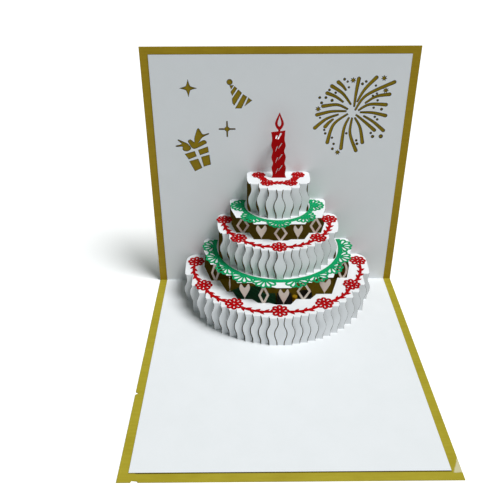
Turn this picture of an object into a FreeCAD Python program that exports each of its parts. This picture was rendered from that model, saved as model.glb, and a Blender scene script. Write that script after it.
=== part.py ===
import FreeCAD, Part
import math
import os
import Sketcher
from FreeCAD import Vector

# Pop up card with a three-tier cake, opened to 90 degrees.
# One white sheet is cut and folded into a back page, a base page and the cake between them.
# A gold cover lies behind it, and red and green paper trims lie on its plates.
# Units are millimetres: X to the right, Y to the back, Z up, origin under the middle of the card.
# Plan outlines are lists of (x, depth), where depth runs forward from the gold back leaf.
# Upright outlines are lists of (x, height), where height runs up from the gold base leaf.

DRIVING_SIZES = [
    ("card_width", 150.0, "width of both leaves"),
    ("card_depth", 150.0, "depth of the base leaf"),
    ("card_height", 150.0, "height of the back leaf"),
    ("cover_thickness", 0.4, "gold card"),
    ("page_thickness", 0.3, "white card"),
    ("trim_thickness", 0.3, "red and green paper"),
    ("margin_side", 4.6, "gold border left and right"),
    ("margin_top", 4.1, "gold border at the top"),
    ("margin_front", 4.5, "gold border at the front"),
    ("round_depth", 7.5, "depth of the axis about which the tiers and trims are round"),
    ("bottom_height", 19.5, "top of the bottom plate"),
    ("lower_flange_height", 31.0, "flange under the middle tier"),
    ("middle_height", 49.0, "top of the middle plate"),
    ("upper_flange_height", 59.0, "flange under the top tier"),
    ("top_height", 77.0, "top of the top plate"),
    ("bottom_radius", 56.3, "roundness of the bottom tier"),
    ("middle_radius", 35.7, "roundness of the middle tier"),
    ("top_radius", 17.5, "roundness of the top tier"),
    ("bottom_half_width", 56.2, "half width of the bottom plate"),
    ("middle_half_width", 35.9, "half width of the middle plate"),
    ("top_half_width", 18.2, "half width of the top plate"),
    ("lower_flange_half_width", 45.0, "where the lower flange meets the back page"),
    ("upper_flange_half_width", 28.5, "where the upper flange meets the back page"),
    ("bottom_strip_half", 2.0, "half width of the middle strip of the bottom tier"),
    ("middle_strip_half", 2.1, "half width of the middle strip of the middle tier"),
    ("top_strip_half", 1.75, "half width of the middle strip of the top tier"),
    ("bottom_strip_pitch", 4.45, "strips of the bottom tier"),
    ("middle_strip_pitch", 4.4, "strips of the middle tier"),
    ("top_strip_pitch", 4.85, "strips of the top tier"),
    ("bottom_front", 0.4, "how far the middle strips of the bottom tier stand forward of the round"),
    ("middle_front", 1.0, "how far the middle strip of the middle tier stands forward of the round"),
    ("top_front", -0.2, "how far the middle strip of the top tier stands forward of the round"),
    ("bottom_corner", 7.0, "rounded back corners of the bottom plate"),
    ("middle_corner", 5.0, "rounded back corners of the middle plate"),
    ("top_corner", 3.0, "rounded back corners of the top plate"),
    ("kerf", 0.35, "cut between two strips"),
    ("wave_bulge", 1.4, "how far the wavy cuts swing out"),
    ("strut_stroke", 1.25, "width of the fretwork strokes"),
    ("lower_lace_radius", 37.2, "inner edge of the lower lace"),
    ("upper_lace_radius", 19.3, "inner edge of the upper lace"),
    ("lace_band", 2.6, "plain band of the laces"),
    ("lower_petal_length", 7.4, "fans of the lower lace"),
    ("upper_petal_length", 7.1, "fans of the upper lace"),
    ("lower_petal_width", 3.9, "fans of the lower lace"),
    ("upper_petal_width", 3.2, "fans of the upper lace"),
    ("lower_lace_shift", 0.3, "the lower lace is glued a little to the right"),
    ("upper_lace_shift", -0.4, "the upper lace is glued a little to the left"),
    ("bottom_garland_radius", 50.6, "line of the bottom garland"),
    ("middle_garland_radius", 31.4, "line of the middle garland"),
    ("top_garland_radius", 10.3, "line of the top garland"),
    ("bottom_flower_radius", 5.2, "flowers of the bottom garland"),
    ("middle_flower_radius", 4.85, "flowers of the middle garland"),
    ("top_flower_radius", 4.0, "flowers of the top garland"),
    ("stem_width", 1.25, "garland stems"),
    ("bottom_stem_bulge", 1.6, "how far the stems of the bottom garland bow out past its line"),
    ("middle_stem_bulge", 0.6, "how far the stems of the middle garland bow out past its line"),
    ("garland_shift", -0.4, "the two lower garlands are glued a little to the left"),
    ("candle_depth", 8.15, "front face of the candle strut"),
    ("candle_half_width", 3.9, "candle body at its bulges"),
    ("candle_body_height", 28.2, "candle body"),
    ("candle_lean", -0.95, "the candle's shoulder lies this far to the side of its foot"),
    ("flame_height", 10.8, "flame above the body"),
    ("candle_tab_height", 98.6, "tab from the back page to the candle strut"),
    ("candle_strut_half_width", 2.3, "white strut behind the candle"),
    ("module_depth", 22.0, "line of the sound module in front of the back leaf"),
    ("module_gap", 0.4, "between the black block, the yellow component and the button cell"),
    ("board_thickness", 1.6, "circuit board"),
    ("chip_place", 0.1, "left side of the black block"),
    ("chip_width", 9.0, "black block"),
    ("chip_depth", 11.5, "black block"),
    ("chip_height", 2.6, "black block"),
    ("lamp_radius", 1.6, "yellow component"),
    ("cell_radius", 4.4, "button cell"),
    ("cell_height", 3.1, "button cell"),
]

# One wavy cut from the top of a strip to its foot: part of the height, part of the bulge.
WAVE = [(0.0, 0.0), (0.2, -0.25), (0.5, 0.95), (0.64, 0.9), (1.0, 0.0)]

# Fretwork struts from left to right: left end, right end, depth of the plane, pattern.
# The places are parts of the half width of the flange that the struts carry.
LOWER_STRUTS = [
    (-0.88, -0.769, 0.644, "lozenge"),
    (-0.667, -0.591, 0.893, "leaf"),
    (-0.531, -0.347, 1.053, "heart"),
    (-0.271, -0.138, 1.133, "lozenge"),
    (-0.049, 0.133, 1.167, "heart"),
    (0.209, 0.387, 1.058, "lozenge"),
    (0.476, 0.671, 0.953, "heart"),
    (0.791, 0.916, 0.598, "leaf"),
]
UPPER_STRUTS = [
    (-0.856, -0.596, 0.818, "lozenge"),
    (-0.505, -0.211, 1.081, "heart"),
    (-0.112, 0.154, 1.133, "lozenge"),
    (0.232, 0.498, 1.088, "heart"),
    (0.618, 0.856, 0.842, "lozenge"),
]
# Where the cut that frees the struts turns back towards the back page, in the same parts.
LOWER_SHELF_TURN = (0.99, 0.31)
UPPER_SHELF_TURN = (0.965, 0.46)


doc = FreeCAD.newDocument("pop_up_card")
sheet = doc.addObject("Spreadsheet::Sheet", "Sizes")
for row, (alias, value, note) in enumerate(DRIVING_SIZES, start=1):
    sheet.set("A%d" % row, alias)
    sheet.set("B%d" % row, "%g" % value)
    sheet.set("C%d" % row, note)
    sheet.setAlias("B%d" % row, alias)
doc.recompute()


def size(alias):
    return float(getattr(sheet, alias))


def tier_sizes(name):
    """Sizes of a tier: its plate, its strips, and how many strips fit on each side of the middle one."""
    tier = {
        "half_width": size(name + "_half_width"),
        "radius": size(name + "_radius"),
        "top": size(name + "_height"),
        "corner": size(name + "_corner"),
        "half": size(name + "_strip_half"),
        "pitch": size(name + "_strip_pitch"),
        "forward": size(name + "_front"),
    }
    tier["count"] = int((tier["half_width"] - tier["half"]) / tier["pitch"])
    return tier


BOTTOM = tier_sizes("bottom")
MIDDLE = tier_sizes("middle")
TOP = tier_sizes("top")
BOTTOM["level"] = 1
MIDDLE["level"] = 0
TOP["level"] = 0
FLOOR = size("cover_thickness")
BACK = size("card_depth") / 2 - size("cover_thickness")
PAGE = size("page_thickness")
TRIM = size("trim_thickness")
ROUND = size("round_depth")


# Outlines and faces

def plan_face(outline, height, holes=()):
    """Flat horizontal face from plan outlines, at a height above the gold base leaf."""
    def wire(points):
        corners = [Vector(x, BACK - depth, FLOOR + height) for x, depth in points]
        return Part.makePolygon(corners + corners[:1])
    return Part.makeFace([wire(outline)] + [wire(hole) for hole in holes], "Part::FaceMakerBullseye")


def upright_face(outline, depth, holes=()):
    """Flat upright face from (x, height) outlines, at a depth in front of the gold back leaf."""
    def wire(points):
        corners = [Vector(x, BACK - depth, FLOOR + height) for x, height in points]
        return Part.makePolygon(corners + corners[:1])
    return Part.makeFace([wire(outline)] + [wire(hole) for hole in holes], "Part::FaceMakerBullseye")


def plate(outline, top, holes=()):
    """White card whose upper face is at the height top."""
    return plan_face(outline, top, holes).extrude(Vector(0, 0, -PAGE))


def wall(outline, depth, holes=()):
    """White card whose front face is at the given depth."""
    return upright_face(outline, depth, holes).extrude(Vector(0, PAGE, 0))


def mirrored(right_half):
    """Closed outline from its right half, listed from the front middle to the back middle."""
    return right_half + [(-x, depth) for x, depth in reversed(right_half)]


def polar(radius, angle, shift=0.0):
    """Plan point on a ring about the tiers' axis; the angle runs from the front to the right."""
    turn = math.radians(angle)
    return (shift + radius * math.sin(turn), ROUND + radius * math.cos(turn))


def around(centre, reach, turn):
    """Point at a distance from a centre, in a direction given in radians."""
    return (centre[0] + reach * math.cos(turn), centre[1] + reach * math.sin(turn))


def ring_of(centre, radius, corners):
    return [around(centre, radius, 2 * math.pi * i / corners) for i in range(corners)]


def stroke(points, width, closed=False):
    """Outline of a line of even width with mitred corners; a closed line gives two outlines."""
    left = []
    right = []
    count = len(points)
    for i, (x, y) in enumerate(points):
        before = points[i - 1] if closed or i > 0 else None
        after = points[(i + 1) % count] if closed or i < count - 1 else None
        normals = []
        for start, end in ((before, (x, y)), ((x, y), after)):
            if start is None or end is None:
                continue
            length = math.hypot(end[0] - start[0], end[1] - start[1])
            normals.append(((start[1] - end[1]) / length, (end[0] - start[0]) / length))
        nx = sum(n[0] for n in normals) / len(normals)
        ny = sum(n[1] for n in normals) / len(normals)
        spread = max(nx * nx + ny * ny, 0.25)
        reach = width / 2 / spread
        left.append((x + nx * reach, y + ny * reach))
        right.append((x - nx * reach, y - ny * reach))
    if closed:
        return left, right
    return left + right[::-1]


def joined(faces):
    """One flat face or solid from overlapping ones."""
    return faces[0].multiFuse(faces[1:]).removeSplitter()


# Strips

def strip_edges(tier):
    return [tier["half"] + tier["pitch"] * k for k in range(tier["count"] + 1)]


def strip_depths(tier):
    """Depth of the front face of the middle strip and of each strip to its right."""
    radius = tier["radius"]
    front = ROUND + radius + tier["forward"]
    depths = [front]
    for k in range(1, tier["count"] + 1):
        across = tier["half"] + tier["pitch"] * (k - 0.25)
        curve = ROUND + math.sqrt(max(radius * radius - across * across, 4.0))
        depths.append(front if k <= tier["level"] else curve)
    return depths


def wave_at(part):
    for (low, start), (high, end) in zip(WAVE, WAVE[1:]):
        if low <= part <= high:
            return start + (end - start) * (part - low) / (high - low)
    return 0.0


def wavy_edge(x, foot, top, slide):
    """Cut line beside a strip from top to foot; slide moves the wave up the strip."""
    tall = top - foot
    heights = [top - part * tall + slide for part, _ in WAVE[1:-1]]
    points = [(x, top)]
    for z in heights:
        if foot < z < top:
            points.append((x + size("wave_bulge") * wave_at((top - z + slide) / tall), z))
    points.append((x, foot))
    return points


def strips(tier, foot):
    """All upright strips of a tier, from the underside of their foot to the top of the plate."""
    top = tier["top"]
    edges = strip_edges(tier)
    depths = strip_depths(tier)
    gap = size("kerf") / 2
    steps = [near - far for near, far in zip(depths, depths[1:])] + [0.0]
    middle = wavy_edge(edges[0] - gap, foot, top, steps[0] / 2)
    solids = [wall(middle + [(-x, z) for x, z in reversed(middle)], depths[0])]
    for k in range(1, tier["count"] + 1):
        inner = wavy_edge(edges[k - 1] + gap, foot, top, -steps[k - 1] / 2)
        outer = wavy_edge(edges[k] - gap, foot, top, steps[k] / 2)
        outline = outer + inner[::-1]
        solids.append(wall(outline, depths[k]))
        solids.append(wall([(-x, z) for x, z in outline], depths[k]))
    return solids


def stepped_front(tier, setback=0.0):
    """Right half of the stepped line along the strips, from the middle outwards."""
    points = []
    before = 0.0
    for edge, depth in zip(strip_edges(tier), strip_depths(tier)):
        points.append((before, depth - setback))
        points.append((edge, depth - setback))
        before = edge
    return points


def side_line(tier, setback=0.0):
    """Curve from the outermost strip back to where the plate is widest."""
    edge = strip_edges(tier)[-1]
    depth = strip_depths(tier)[-1] - setback
    points = []
    for turn in (30, 60, 90):
        angle = math.radians(turn)
        x = edge + (tier["half_width"] - edge) * math.sin(angle)
        points.append((x, ROUND + (depth - ROUND) * math.cos(angle)))
    return points


def rounded_corner(tier):
    """Back corner of a plate, from its side to its line on the back page."""
    radius = tier["corner"]
    middle = tier["half_width"] - radius
    return [
        (middle + radius * math.cos(math.radians(turn)), radius - radius * math.sin(math.radians(turn)))
        for turn in (0, 30, 60, 90)
    ]


def shelf_edge(struts, turn, half_width, setback=0.0):
    """Line of the struts' planes across a shelf, from the left to the right end at the back page."""
    points = [(-half_width, 0.0), (-turn[0] * half_width, turn[1] * half_width)]
    for left, right, depth, _ in struts:
        points.append((left * half_width, depth * half_width - setback))
        points.append((right * half_width, depth * half_width - setback))
    return points + [(turn[0] * half_width, turn[1] * half_width), (half_width, 0.0)]


def tier_plate(tier, inner):
    """Top plate of a tier: stepped front, curved sides, and its inner edge from left to right."""
    right = stepped_front(tier) + side_line(tier) + rounded_corner(tier)
    left = [(-x, depth) for x, depth in reversed(right[1:])]
    return plate(left + right[1:] + inner[::-1], tier["top"])


def flange(tier, top, outer):
    """Flange round the feet of a tier: stepped inner edge, outer edge along the struts."""
    right = stepped_front(tier, PAGE) + side_line(tier, PAGE) + [(tier["half_width"], 0.0)]
    left = [(-x, depth) for x, depth in reversed(right[1:])]
    return plate(outer + (left + right[1:])[::-1], top)


# Fretwork struts

def strut_outlines(pattern, half, tall):
    """Centre line of a strut's stroke, which meets both plates at its foot and its top."""
    if pattern == "lozenge":
        loop = [(0, 0), (half, 0.5), (0, 1), (-half, 0.5)]
    elif pattern == "leaf":
        loop = [(0, 0), (half, 0.35), (half, 0.65), (0, 1), (-half, 0.65), (-half, 0.35)]
    else:
        loop = [(0, 0), (half, 0.6), (0.85 * half, 0.9), (0.4 * half, 0.98),
                (0, 0.74), (-0.4 * half, 0.98), (-0.85 * half, 0.9), (-half, 0.6)]
    return [(x, part * tall) for x, part in loop]


def struts(places, half_width, foot, top):
    """Fretwork struts between a plate and the flange above it."""
    width = size("strut_stroke")
    solids = []
    for left_part, right_part, depth_part, pattern in places:
        left = left_part * half_width
        right = right_part * half_width
        depth = depth_part * half_width
        middle = (left + right) / 2
        half = (right - left - width) / 2
        loop = [(middle + x, foot + z) for x, z in strut_outlines(pattern, half, top - foot)]
        outer, inner = stroke(loop, width, closed=True)
        region = upright_face([(left, foot), (right, foot), (right, top), (left, top)], depth)
        face = upright_face(outer, depth, [inner]).common(region)
        solids.append(face.extrude(Vector(0, PAGE, 0)))
    return solids


# Cuts in the back page, drawn on a page whose top edge is this high

DRAWN_PAGE_TOP = 145.5
SPARKLE = {"centre": (-50.0, 127.3), "arm": 4.1, "waist": 1.0}
THIN_STAR = {"centre": (-29.2, 103.7), "arm": 4.6, "diamond": 1.7, "line": 0.33}
HAT_BALL = {"centre": (-27.3, 130.6), "radius": 1.4}
HAT_BANDS = [
    [(-27.3, 128.7), (-25.1, 128.8), (-26.6, 126.7)],
    [(-24.5, 128.2), (-23.4, 127.1), (-26.1, 123.0), (-26.7, 125.0)],
    [(-22.5, 126.3), (-20.8, 124.7), (-25.1, 117.5), (-25.8, 118.9), (-26.0, 121.1)],
    [(-19.8, 123.7), (-18.0, 122.4), (-21.1, 115.9), (-24.3, 115.7)],
    [(-17.0, 121.8), (-15.2, 120.4), (-19.2, 117.0)],
]
GIFT_PANES = [
    [(-53.9, 88.5), (-48.2, 90.2), (-47.3, 87.3), (-51.8, 85.4)],
    [(-46.1, 90.9), (-40.5, 93.0), (-40.2, 89.8), (-45.2, 88.0)],
    [(-51.5, 84.0), (-46.5, 85.5), (-44.4, 79.9), (-48.5, 77.8)],
    [(-44.5, 86.6), (-39.9, 88.0), (-39.3, 82.0), (-43.2, 80.7)],
]
GIFT_BOW = [
    [(-48.9, 92.0), (-45.2, 93.2), (-42.7, 94.5), (-41.3, 95.3), (-41.6, 96.4), (-42.7, 96.9),
     (-44.5, 96.1), (-45.8, 95.4), (-44.1, 98.2), (-42.3, 99.6), (-39.9, 100.7), (-40.0, 101.1),
     (-43.2, 100.5), (-45.5, 104.1), (-46.9, 101.2), (-47.8, 98.2), (-48.0, 95.6), (-50.2, 97.3),
     (-51.5, 96.6), (-51.2, 95.4)],
    [(-50.3, 92.2), (-52.0, 90.6), (-54.0, 90.6), (-54.9, 91.6), (-54.7, 92.8), (-55.4, 93.4),
     (-58.4, 93.2), (-58.5, 93.7), (-55.8, 94.4), (-55.4, 95.2), (-57.3, 97.0), (-56.9, 97.3),
     (-54.8, 96.2), (-52.0, 94.7)],
]
BURST_CENTRE = (40.0, 114.0)
# Rays of the burst from its centre: start, bend and end.
BURST_RAYS = [
    [(1.6, 2.4), (2.0, 10.0), (2.9, 18.2)],
    [(3.0, 5.2), (6.6, 12.2), (12.4, 18.8)],
    [(2.3, 0.4), (7.8, 8.9), (22.4, 16.2)],
    [(7.5, 4.4), (13.2, 8.2), (20.5, 9.4)],
    [(4.1, 0.3), (10.0, 3.7), (19.2, 3.5)],
    [(5.2, -0.8), (12.3, -1.1), (19.6, -2.8)],
    [(7.3, -2.9), (13.4, -6.6), (19.3, -11.6)],
    [(3.0, -2.2), (8.7, -6.7), (14.2, -11.4)],
    [(2.5, -3.9), (6.0, -9.9), (8.1, -18.8)],
    [(1.0, -4.0), (0.9, -16.0), (4.8, -23.8)],
    [(-0.7, -3.8), (-3.1, -10.4), (-3.9, -22.4)],
    [(-1.6, -1.7), (-9.2, -8.0), (-12.0, -18.7)],
    [(-9.5, -4.7), (-11.6, -6.5), (-13.8, -9.2)],
    [(-6.8, -2.0), (-13.6, -4.7), (-19.6, -9.9)],
    [(-2.5, -0.1), (-11.0, -0.3), (-18.8, -2.2)],
    [(-1.8, 1.0), (-7.8, 3.6), (-15.7, 2.8)],
    [(-4.6, 5.1), (-9.0, 8.2), (-13.8, 10.2)],
    [(-0.3, 3.7), (-5.2, 9.9), (-11.5, 14.1)],
    [(-3.6, 11.7), (-5.6, 14.2), (-8.1, 16.3)],
]
# Dots of the burst from its centre: across, up, radius.
BURST_DOTS = [
    (-4.9, 17.9, 0.6), (-3.1, 16.6, 0.45), (-2.2, 13.4, 0.45), (-12.7, 12.0, 0.55), (-9.2, 10.4, 0.5),
    (-17.8, 7.7, 0.6), (-14.4, 7.7, 0.6), (-10.9, 6.1, 0.7), (-16.6, 4.7, 0.65), (-17.0, -3.9, 0.45),
    (-14.2, -11.1, 0.5), (-13.5, -13.2, 0.55), (-9.5, -15.8, 0.5), (-8.3, -19.6, 0.55), (-8.8, -22.6, 0.65),
    (-1.5, -13.2, 0.55), (4.5, -17.5, 0.55), (5.1, -19.6, 0.65), (12.4, -13.1, 0.55), (13.6, -15.2, 0.8),
    (18.3, -15.1, 1.05), (13.7, -3.5, 0.5), (15.2, -5.0, 0.55), (12.5, 1.8, 0.5), (17.0, 0.9, 0.65),
    (14.3, 6.0, 0.5), (11.4, 8.6, 0.45), (13.5, 9.9, 0.45), (12.5, 14.3, 0.45), (5.1, 15.3, 0.6),
    (7.0, 16.6, 0.55),
]
# A dot with few corners is drawn this much larger, so that it looks as large as the round one.
DOT_ROUNDING = 0.15
BURST_STAR = {"arm": 1.5, "waist": 0.7}
BURST_STARS = [(-0.1, 17.3), (16.6, 18.4), (18.2, 11.6), (-18.3, 1.2), (-5.7, -24.8)]


def star(centre, arm, waist, tips):
    points = []
    for i in range(2 * tips):
        reach = arm if i % 2 == 0 else waist
        points.append(around(centre, reach, math.pi * i / tips + math.pi / 2))
    return points


def thin_star(centre, arm, diamond, line):
    """Diamond with a thin line running out of each corner."""
    quarter = [(line, arm), (line, diamond - line), (diamond - line, line), (arm, line)]
    points = []
    for flip_x, flip_z, order in ((1, 1, 1), (1, -1, -1), (-1, -1, 1), (-1, 1, -1)):
        for x, z in quarter[::order]:
            points.append((centre[0] + flip_x * x, centre[1] + flip_z * z))
    return points


def ray(points, start_width=0.7, end_width=1.8):
    """Bent slot that widens towards its outer end."""
    left = []
    right = []
    for i, (x, z) in enumerate(points):
        before = points[max(i - 1, 0)]
        after = points[min(i + 1, 2)]
        length = math.hypot(after[0] - before[0], after[1] - before[1])
        nx = (before[1] - after[1]) / length
        nz = (after[0] - before[0]) / length
        half = (start_width + (end_width - start_width) * i / 2) / 2
        left.append((x + nx * half, z + nz * half))
        right.append((x - nx * half, z - nz * half))
    return [(BURST_CENTRE[0] + x, BURST_CENTRE[1] + z) for x, z in left + right[::-1]]


def motif_outlines():
    """Everything that is cut out of the back page above the cake."""
    outlines = [star(SPARKLE["centre"], SPARKLE["arm"], SPARKLE["waist"], 4)]
    outlines.append(thin_star(THIN_STAR["centre"], THIN_STAR["arm"], THIN_STAR["diamond"], THIN_STAR["line"]))
    outlines.append(ring_of(HAT_BALL["centre"], HAT_BALL["radius"], 10))
    outlines += HAT_BANDS + GIFT_PANES + GIFT_BOW
    outlines += [ray(points) for points in BURST_RAYS]
    for x, z, radius in BURST_DOTS:
        corners = 6 if radius > 0.6 else 4
        outlines.append(ring_of((BURST_CENTRE[0] + x, BURST_CENTRE[1] + z), radius + DOT_ROUNDING, corners))
    for x, z in BURST_STARS:
        centre = (BURST_CENTRE[0] + x, BURST_CENTRE[1] + z)
        outlines.append(star(centre, BURST_STAR["arm"], BURST_STAR["waist"], 5))
    lift = size("card_height") - FLOOR - size("margin_top") - DRAWN_PAGE_TOP
    return [[(x, z + lift) for x, z in outline] for outline in outlines]


def cake_opening():
    """Right half of the opening left in the back page by the cake, from the bottom up."""
    points = [(BOTTOM["half_width"], -1.0)]
    for tier, above, flange_name in ((BOTTOM, MIDDLE, "lower_flange"), (MIDDLE, TOP, "upper_flange")):
        ceiling = tier["top"] - PAGE
        neck = size(flange_name + "_half_width")
        shoulder = size(flange_name + "_height") - PAGE
        points += [(x, ceiling - drop) for x, drop in rounded_corner(tier)]
        points += [(neck, ceiling), (neck, shoulder), (above["half_width"], shoulder)]
    ceiling = TOP["top"] - PAGE
    points += [(x, ceiling - drop) for x, drop in rounded_corner(TOP)]
    strut_half = size("candle_strut_half_width")
    return points + [(strut_half, ceiling), (strut_half, size("candle_tab_height") - PAGE)]


def cake_footprint():
    """Right half of the opening left in the base page: strips in front, wavy cut at the side."""
    points = stepped_front(BOTTOM, PAGE)[1:]
    edge = strip_edges(BOTTOM)[-1]
    depth = strip_depths(BOTTOM)[-1]
    for part, swing in reversed(WAVE):
        along = depth - BOTTOM["top"] * (1 - part)
        if 0 < along < depth - PAGE:
            points.append((edge + size("wave_bulge") * max(swing, 0.0), along))
    return points + [(edge, -1.0)]


# Gold cover: one card folded at the gutter, with its worn nicks

def constrain_sketch(sketch, outline):
    """Closed polygon in a sketch with every corner held from the origin."""
    count = len(outline)
    for i in range(count):
        start = outline[i]
        end = outline[(i + 1) % count]
        sketch.addGeometry(Part.LineSegment(Vector(start[0], start[1], 0), Vector(end[0], end[1], 0)), False)
    for i in range(count):
        sketch.addConstraint(Sketcher.Constraint("Coincident", i, 2, (i + 1) % count, 1))


def hold_point(sketch, line, x_expression, y_expression):
    """Hold the start point of a line at a distance from the origin in both directions."""
    point = sketch.Geometry[line].StartPoint
    for axis, value, expression in (("DistanceX", point.x, x_expression), ("DistanceY", point.y, y_expression)):
        index = sketch.addConstraint(Sketcher.Constraint(axis, -1, 1, line, 1, value))
        sketch.setExpression("Constraints[%d]" % index, expression)


def origin_plane(body, role):
    for feature in body.Origin.OriginFeatures:
        if feature.Role == role:
            return feature
    raise RuntimeError("no plane " + role)


cover = doc.addObject("PartDesign::Body", "cover")
cover.Label = "cover"
profile = cover.newObject("Sketcher::SketchObject", "cover_profile")
profile.AttachmentSupport = [(origin_plane(cover, "YZ_Plane"), "")]
profile.MapMode = "FlatFace"
half_depth = size("card_depth") / 2
card_height = size("card_height")
thick = size("cover_thickness")
constrain_sketch(profile, [
    (-half_depth, 0), (half_depth, 0), (half_depth, card_height),
    (half_depth - thick, card_height), (half_depth - thick, thick), (-half_depth, thick),
])
hold_point(profile, 0, "-Sizes.card_depth / 2", "0")
hold_point(profile, 1, "Sizes.card_depth / 2", "0")
hold_point(profile, 2, "Sizes.card_depth / 2", "Sizes.card_height")
hold_point(profile, 3, "Sizes.card_depth / 2 - Sizes.cover_thickness", "Sizes.card_height")
hold_point(profile, 4, "Sizes.card_depth / 2 - Sizes.cover_thickness", "Sizes.cover_thickness")
hold_point(profile, 5, "-Sizes.card_depth / 2", "Sizes.cover_thickness")
leaves = cover.newObject("PartDesign::Pad", "cover_leaves")
leaves.Profile = profile
leaves.Midplane = True
leaves.setExpression("Length", "Sizes.card_width")
doc.recompute()

nicks = cover.newObject("Sketcher::SketchObject", "cover_nicks")
nicks.AttachmentSupport = [(origin_plane(cover, "XY_Plane"), "")]
nicks.MapMode = "FlatFace"
left_edge = -size("card_width") / 2
for corners in (
    [(left_edge - 1, -22.6), (left_edge + 1.7, -24.2), (left_edge - 1, -25.4)],
    [(left_edge + 5.6, -half_depth - 1), (left_edge + 6.4, -half_depth + 0.9),
     (left_edge + 9.0, -half_depth + 0.6), (left_edge + 9.8, -half_depth - 1)],
):
    first = len(nicks.Geometry)
    for i, (x, y) in enumerate(corners):
        nx, ny = corners[(i + 1) % len(corners)]
        nicks.addGeometry(Part.LineSegment(Vector(x, y, 0), Vector(nx, ny, 0)), False)
    for i in range(len(corners)):
        nicks.addConstraint(Sketcher.Constraint("Coincident", first + i, 2, first + (i + 1) % len(corners), 1))
doc.recompute()
worn = cover.newObject("PartDesign::Pocket", "cover_worn_edge")
worn.Profile = nicks
worn.Midplane = True
worn.setExpression("Length", "Sizes.cover_thickness * 4")
doc.recompute()

# White sheet: back page, base page and the folded cake as one solid

back_page = doc.addObject("Part::Box", "back_page")
back_page.Label = "back page blank"
back_page.setExpression("Length", "Sizes.card_width - 2 * Sizes.margin_side")
back_page.setExpression("Width", "Sizes.page_thickness")
back_page.setExpression("Height", "Sizes.card_height - Sizes.cover_thickness - Sizes.margin_top")
back_page.setExpression("Placement.Base.x", "Sizes.margin_side - Sizes.card_width / 2")
PAGE_BACK = "Sizes.card_depth / 2 - Sizes.cover_thickness"
back_page.setExpression("Placement.Base.y", PAGE_BACK + " - Sizes.page_thickness")
back_page.setExpression("Placement.Base.z", "Sizes.cover_thickness")

base_page = doc.addObject("Part::Box", "base_page")
base_page.Label = "base page blank"
base_page.setExpression("Length", "Sizes.card_width - 2 * Sizes.margin_side")
base_page.setExpression("Width", "Sizes.card_depth - Sizes.cover_thickness - Sizes.margin_front")
base_page.setExpression("Height", "Sizes.page_thickness")
base_page.setExpression("Placement.Base.x", "Sizes.margin_side - Sizes.card_width / 2")
base_page.setExpression("Placement.Base.y", "Sizes.margin_front - Sizes.card_depth / 2")
base_page.setExpression("Placement.Base.z", "Sizes.cover_thickness")

opening = mirrored(cake_opening())
cutters = [upright_face(opening, -1.0).extrude(Vector(0, -3.0, 0))]
for outline in motif_outlines():
    cutters.append(upright_face(outline, -1.0).extrude(Vector(0, -3.0, 0)))
back_cuts = doc.addObject("Part::Feature", "back_page_cuts")
back_cuts.Label = "cuts in the back page"
back_cuts.Shape = Part.makeCompound(cutters)

base_cut = doc.addObject("Part::Feature", "base_page_cut")
base_cut.Label = "cut in the base page"
base_cut.Shape = plan_face(mirrored(cake_footprint()), -1.0).extrude(Vector(0, 0, 3.0))

lower_half = size("lower_flange_half_width")
upper_half = size("upper_flange_half_width")
lower_top = size("lower_flange_height")
upper_top = size("upper_flange_height")
candle_half = size("candle_strut_half_width")
candle_depth = size("candle_depth")
candle_foot = TOP["top"] - PAGE
candle_tab = size("candle_tab_height")
candle_notch = [
    (-candle_half, 0.0), (-candle_half, candle_depth - PAGE),
    (candle_half, candle_depth - PAGE), (candle_half, 0.0),
]

folded = [
    tier_plate(BOTTOM, shelf_edge(LOWER_STRUTS, LOWER_SHELF_TURN, lower_half, PAGE)),
    tier_plate(MIDDLE, shelf_edge(UPPER_STRUTS, UPPER_SHELF_TURN, upper_half, PAGE)),
    tier_plate(TOP, candle_notch),
    flange(MIDDLE, lower_top, shelf_edge(LOWER_STRUTS, LOWER_SHELF_TURN, lower_half)),
    flange(TOP, upper_top, shelf_edge(UPPER_STRUTS, UPPER_SHELF_TURN, upper_half)),
]
folded += strips(BOTTOM, 0.0)
folded += strips(MIDDLE, lower_top - PAGE)
folded += strips(TOP, upper_top - PAGE)
folded += struts(LOWER_STRUTS, lower_half, BOTTOM["top"] - PAGE, lower_top)
folded += struts(UPPER_STRUTS, upper_half, MIDDLE["top"] - PAGE, upper_top)
folded.append(wall([(-candle_half, candle_foot), (candle_half, candle_foot),
                    (candle_half, candle_tab), (-candle_half, candle_tab)], candle_depth))
folded.append(plate([(-candle_half, 0.0), (candle_half, 0.0),
                     (candle_half, candle_depth), (-candle_half, candle_depth)], candle_tab))
cake = doc.addObject("Part::Feature", "folded_cake")
cake.Label = "folded cake"
cake.Shape = joined(folded)

cut_back = doc.addObject("Part::Cut", "cut_back_page")
cut_back.Base = back_page
cut_back.Tool = back_cuts
cut_base = doc.addObject("Part::Cut", "cut_base_page")
cut_base.Base = base_page
cut_base.Tool = base_cut
inner_sheet = doc.addObject("Part::MultiFuse", "inner_sheet")
inner_sheet.Label = "inner_sheet"
inner_sheet.Shapes = [cut_back, cut_base, cake]
inner_sheet.Refine = True
doc.recompute()


# Paper trims: a flat outline in code, raised to its thickness by an extrusion

def trim(name, face, direction):
    outline = doc.addObject("Part::Feature", name + "_outline")
    outline.Label = name + " outline"
    outline.Shape = face
    sheet_of_paper = doc.addObject("Part::Extrusion", name)
    sheet_of_paper.Label = name
    sheet_of_paper.Base = outline
    sheet_of_paper.DirMode = "Custom"
    sheet_of_paper.Dir = direction
    sheet_of_paper.Solid = True
    sheet_of_paper.setExpression("LengthFwd", "Sizes.trim_thickness")
    return sheet_of_paper


def turned(points, centre, angle):
    """Points given as (across, outwards) about a hub, turned to face along a plan angle."""
    turn = math.radians(angle)
    placed = []
    for across, out in points:
        x = centre[0] + across * math.cos(turn) + out * math.sin(turn)
        depth = centre[1] - across * math.sin(turn) + out * math.cos(turn)
        placed.append((x, depth))
    return placed


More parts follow.
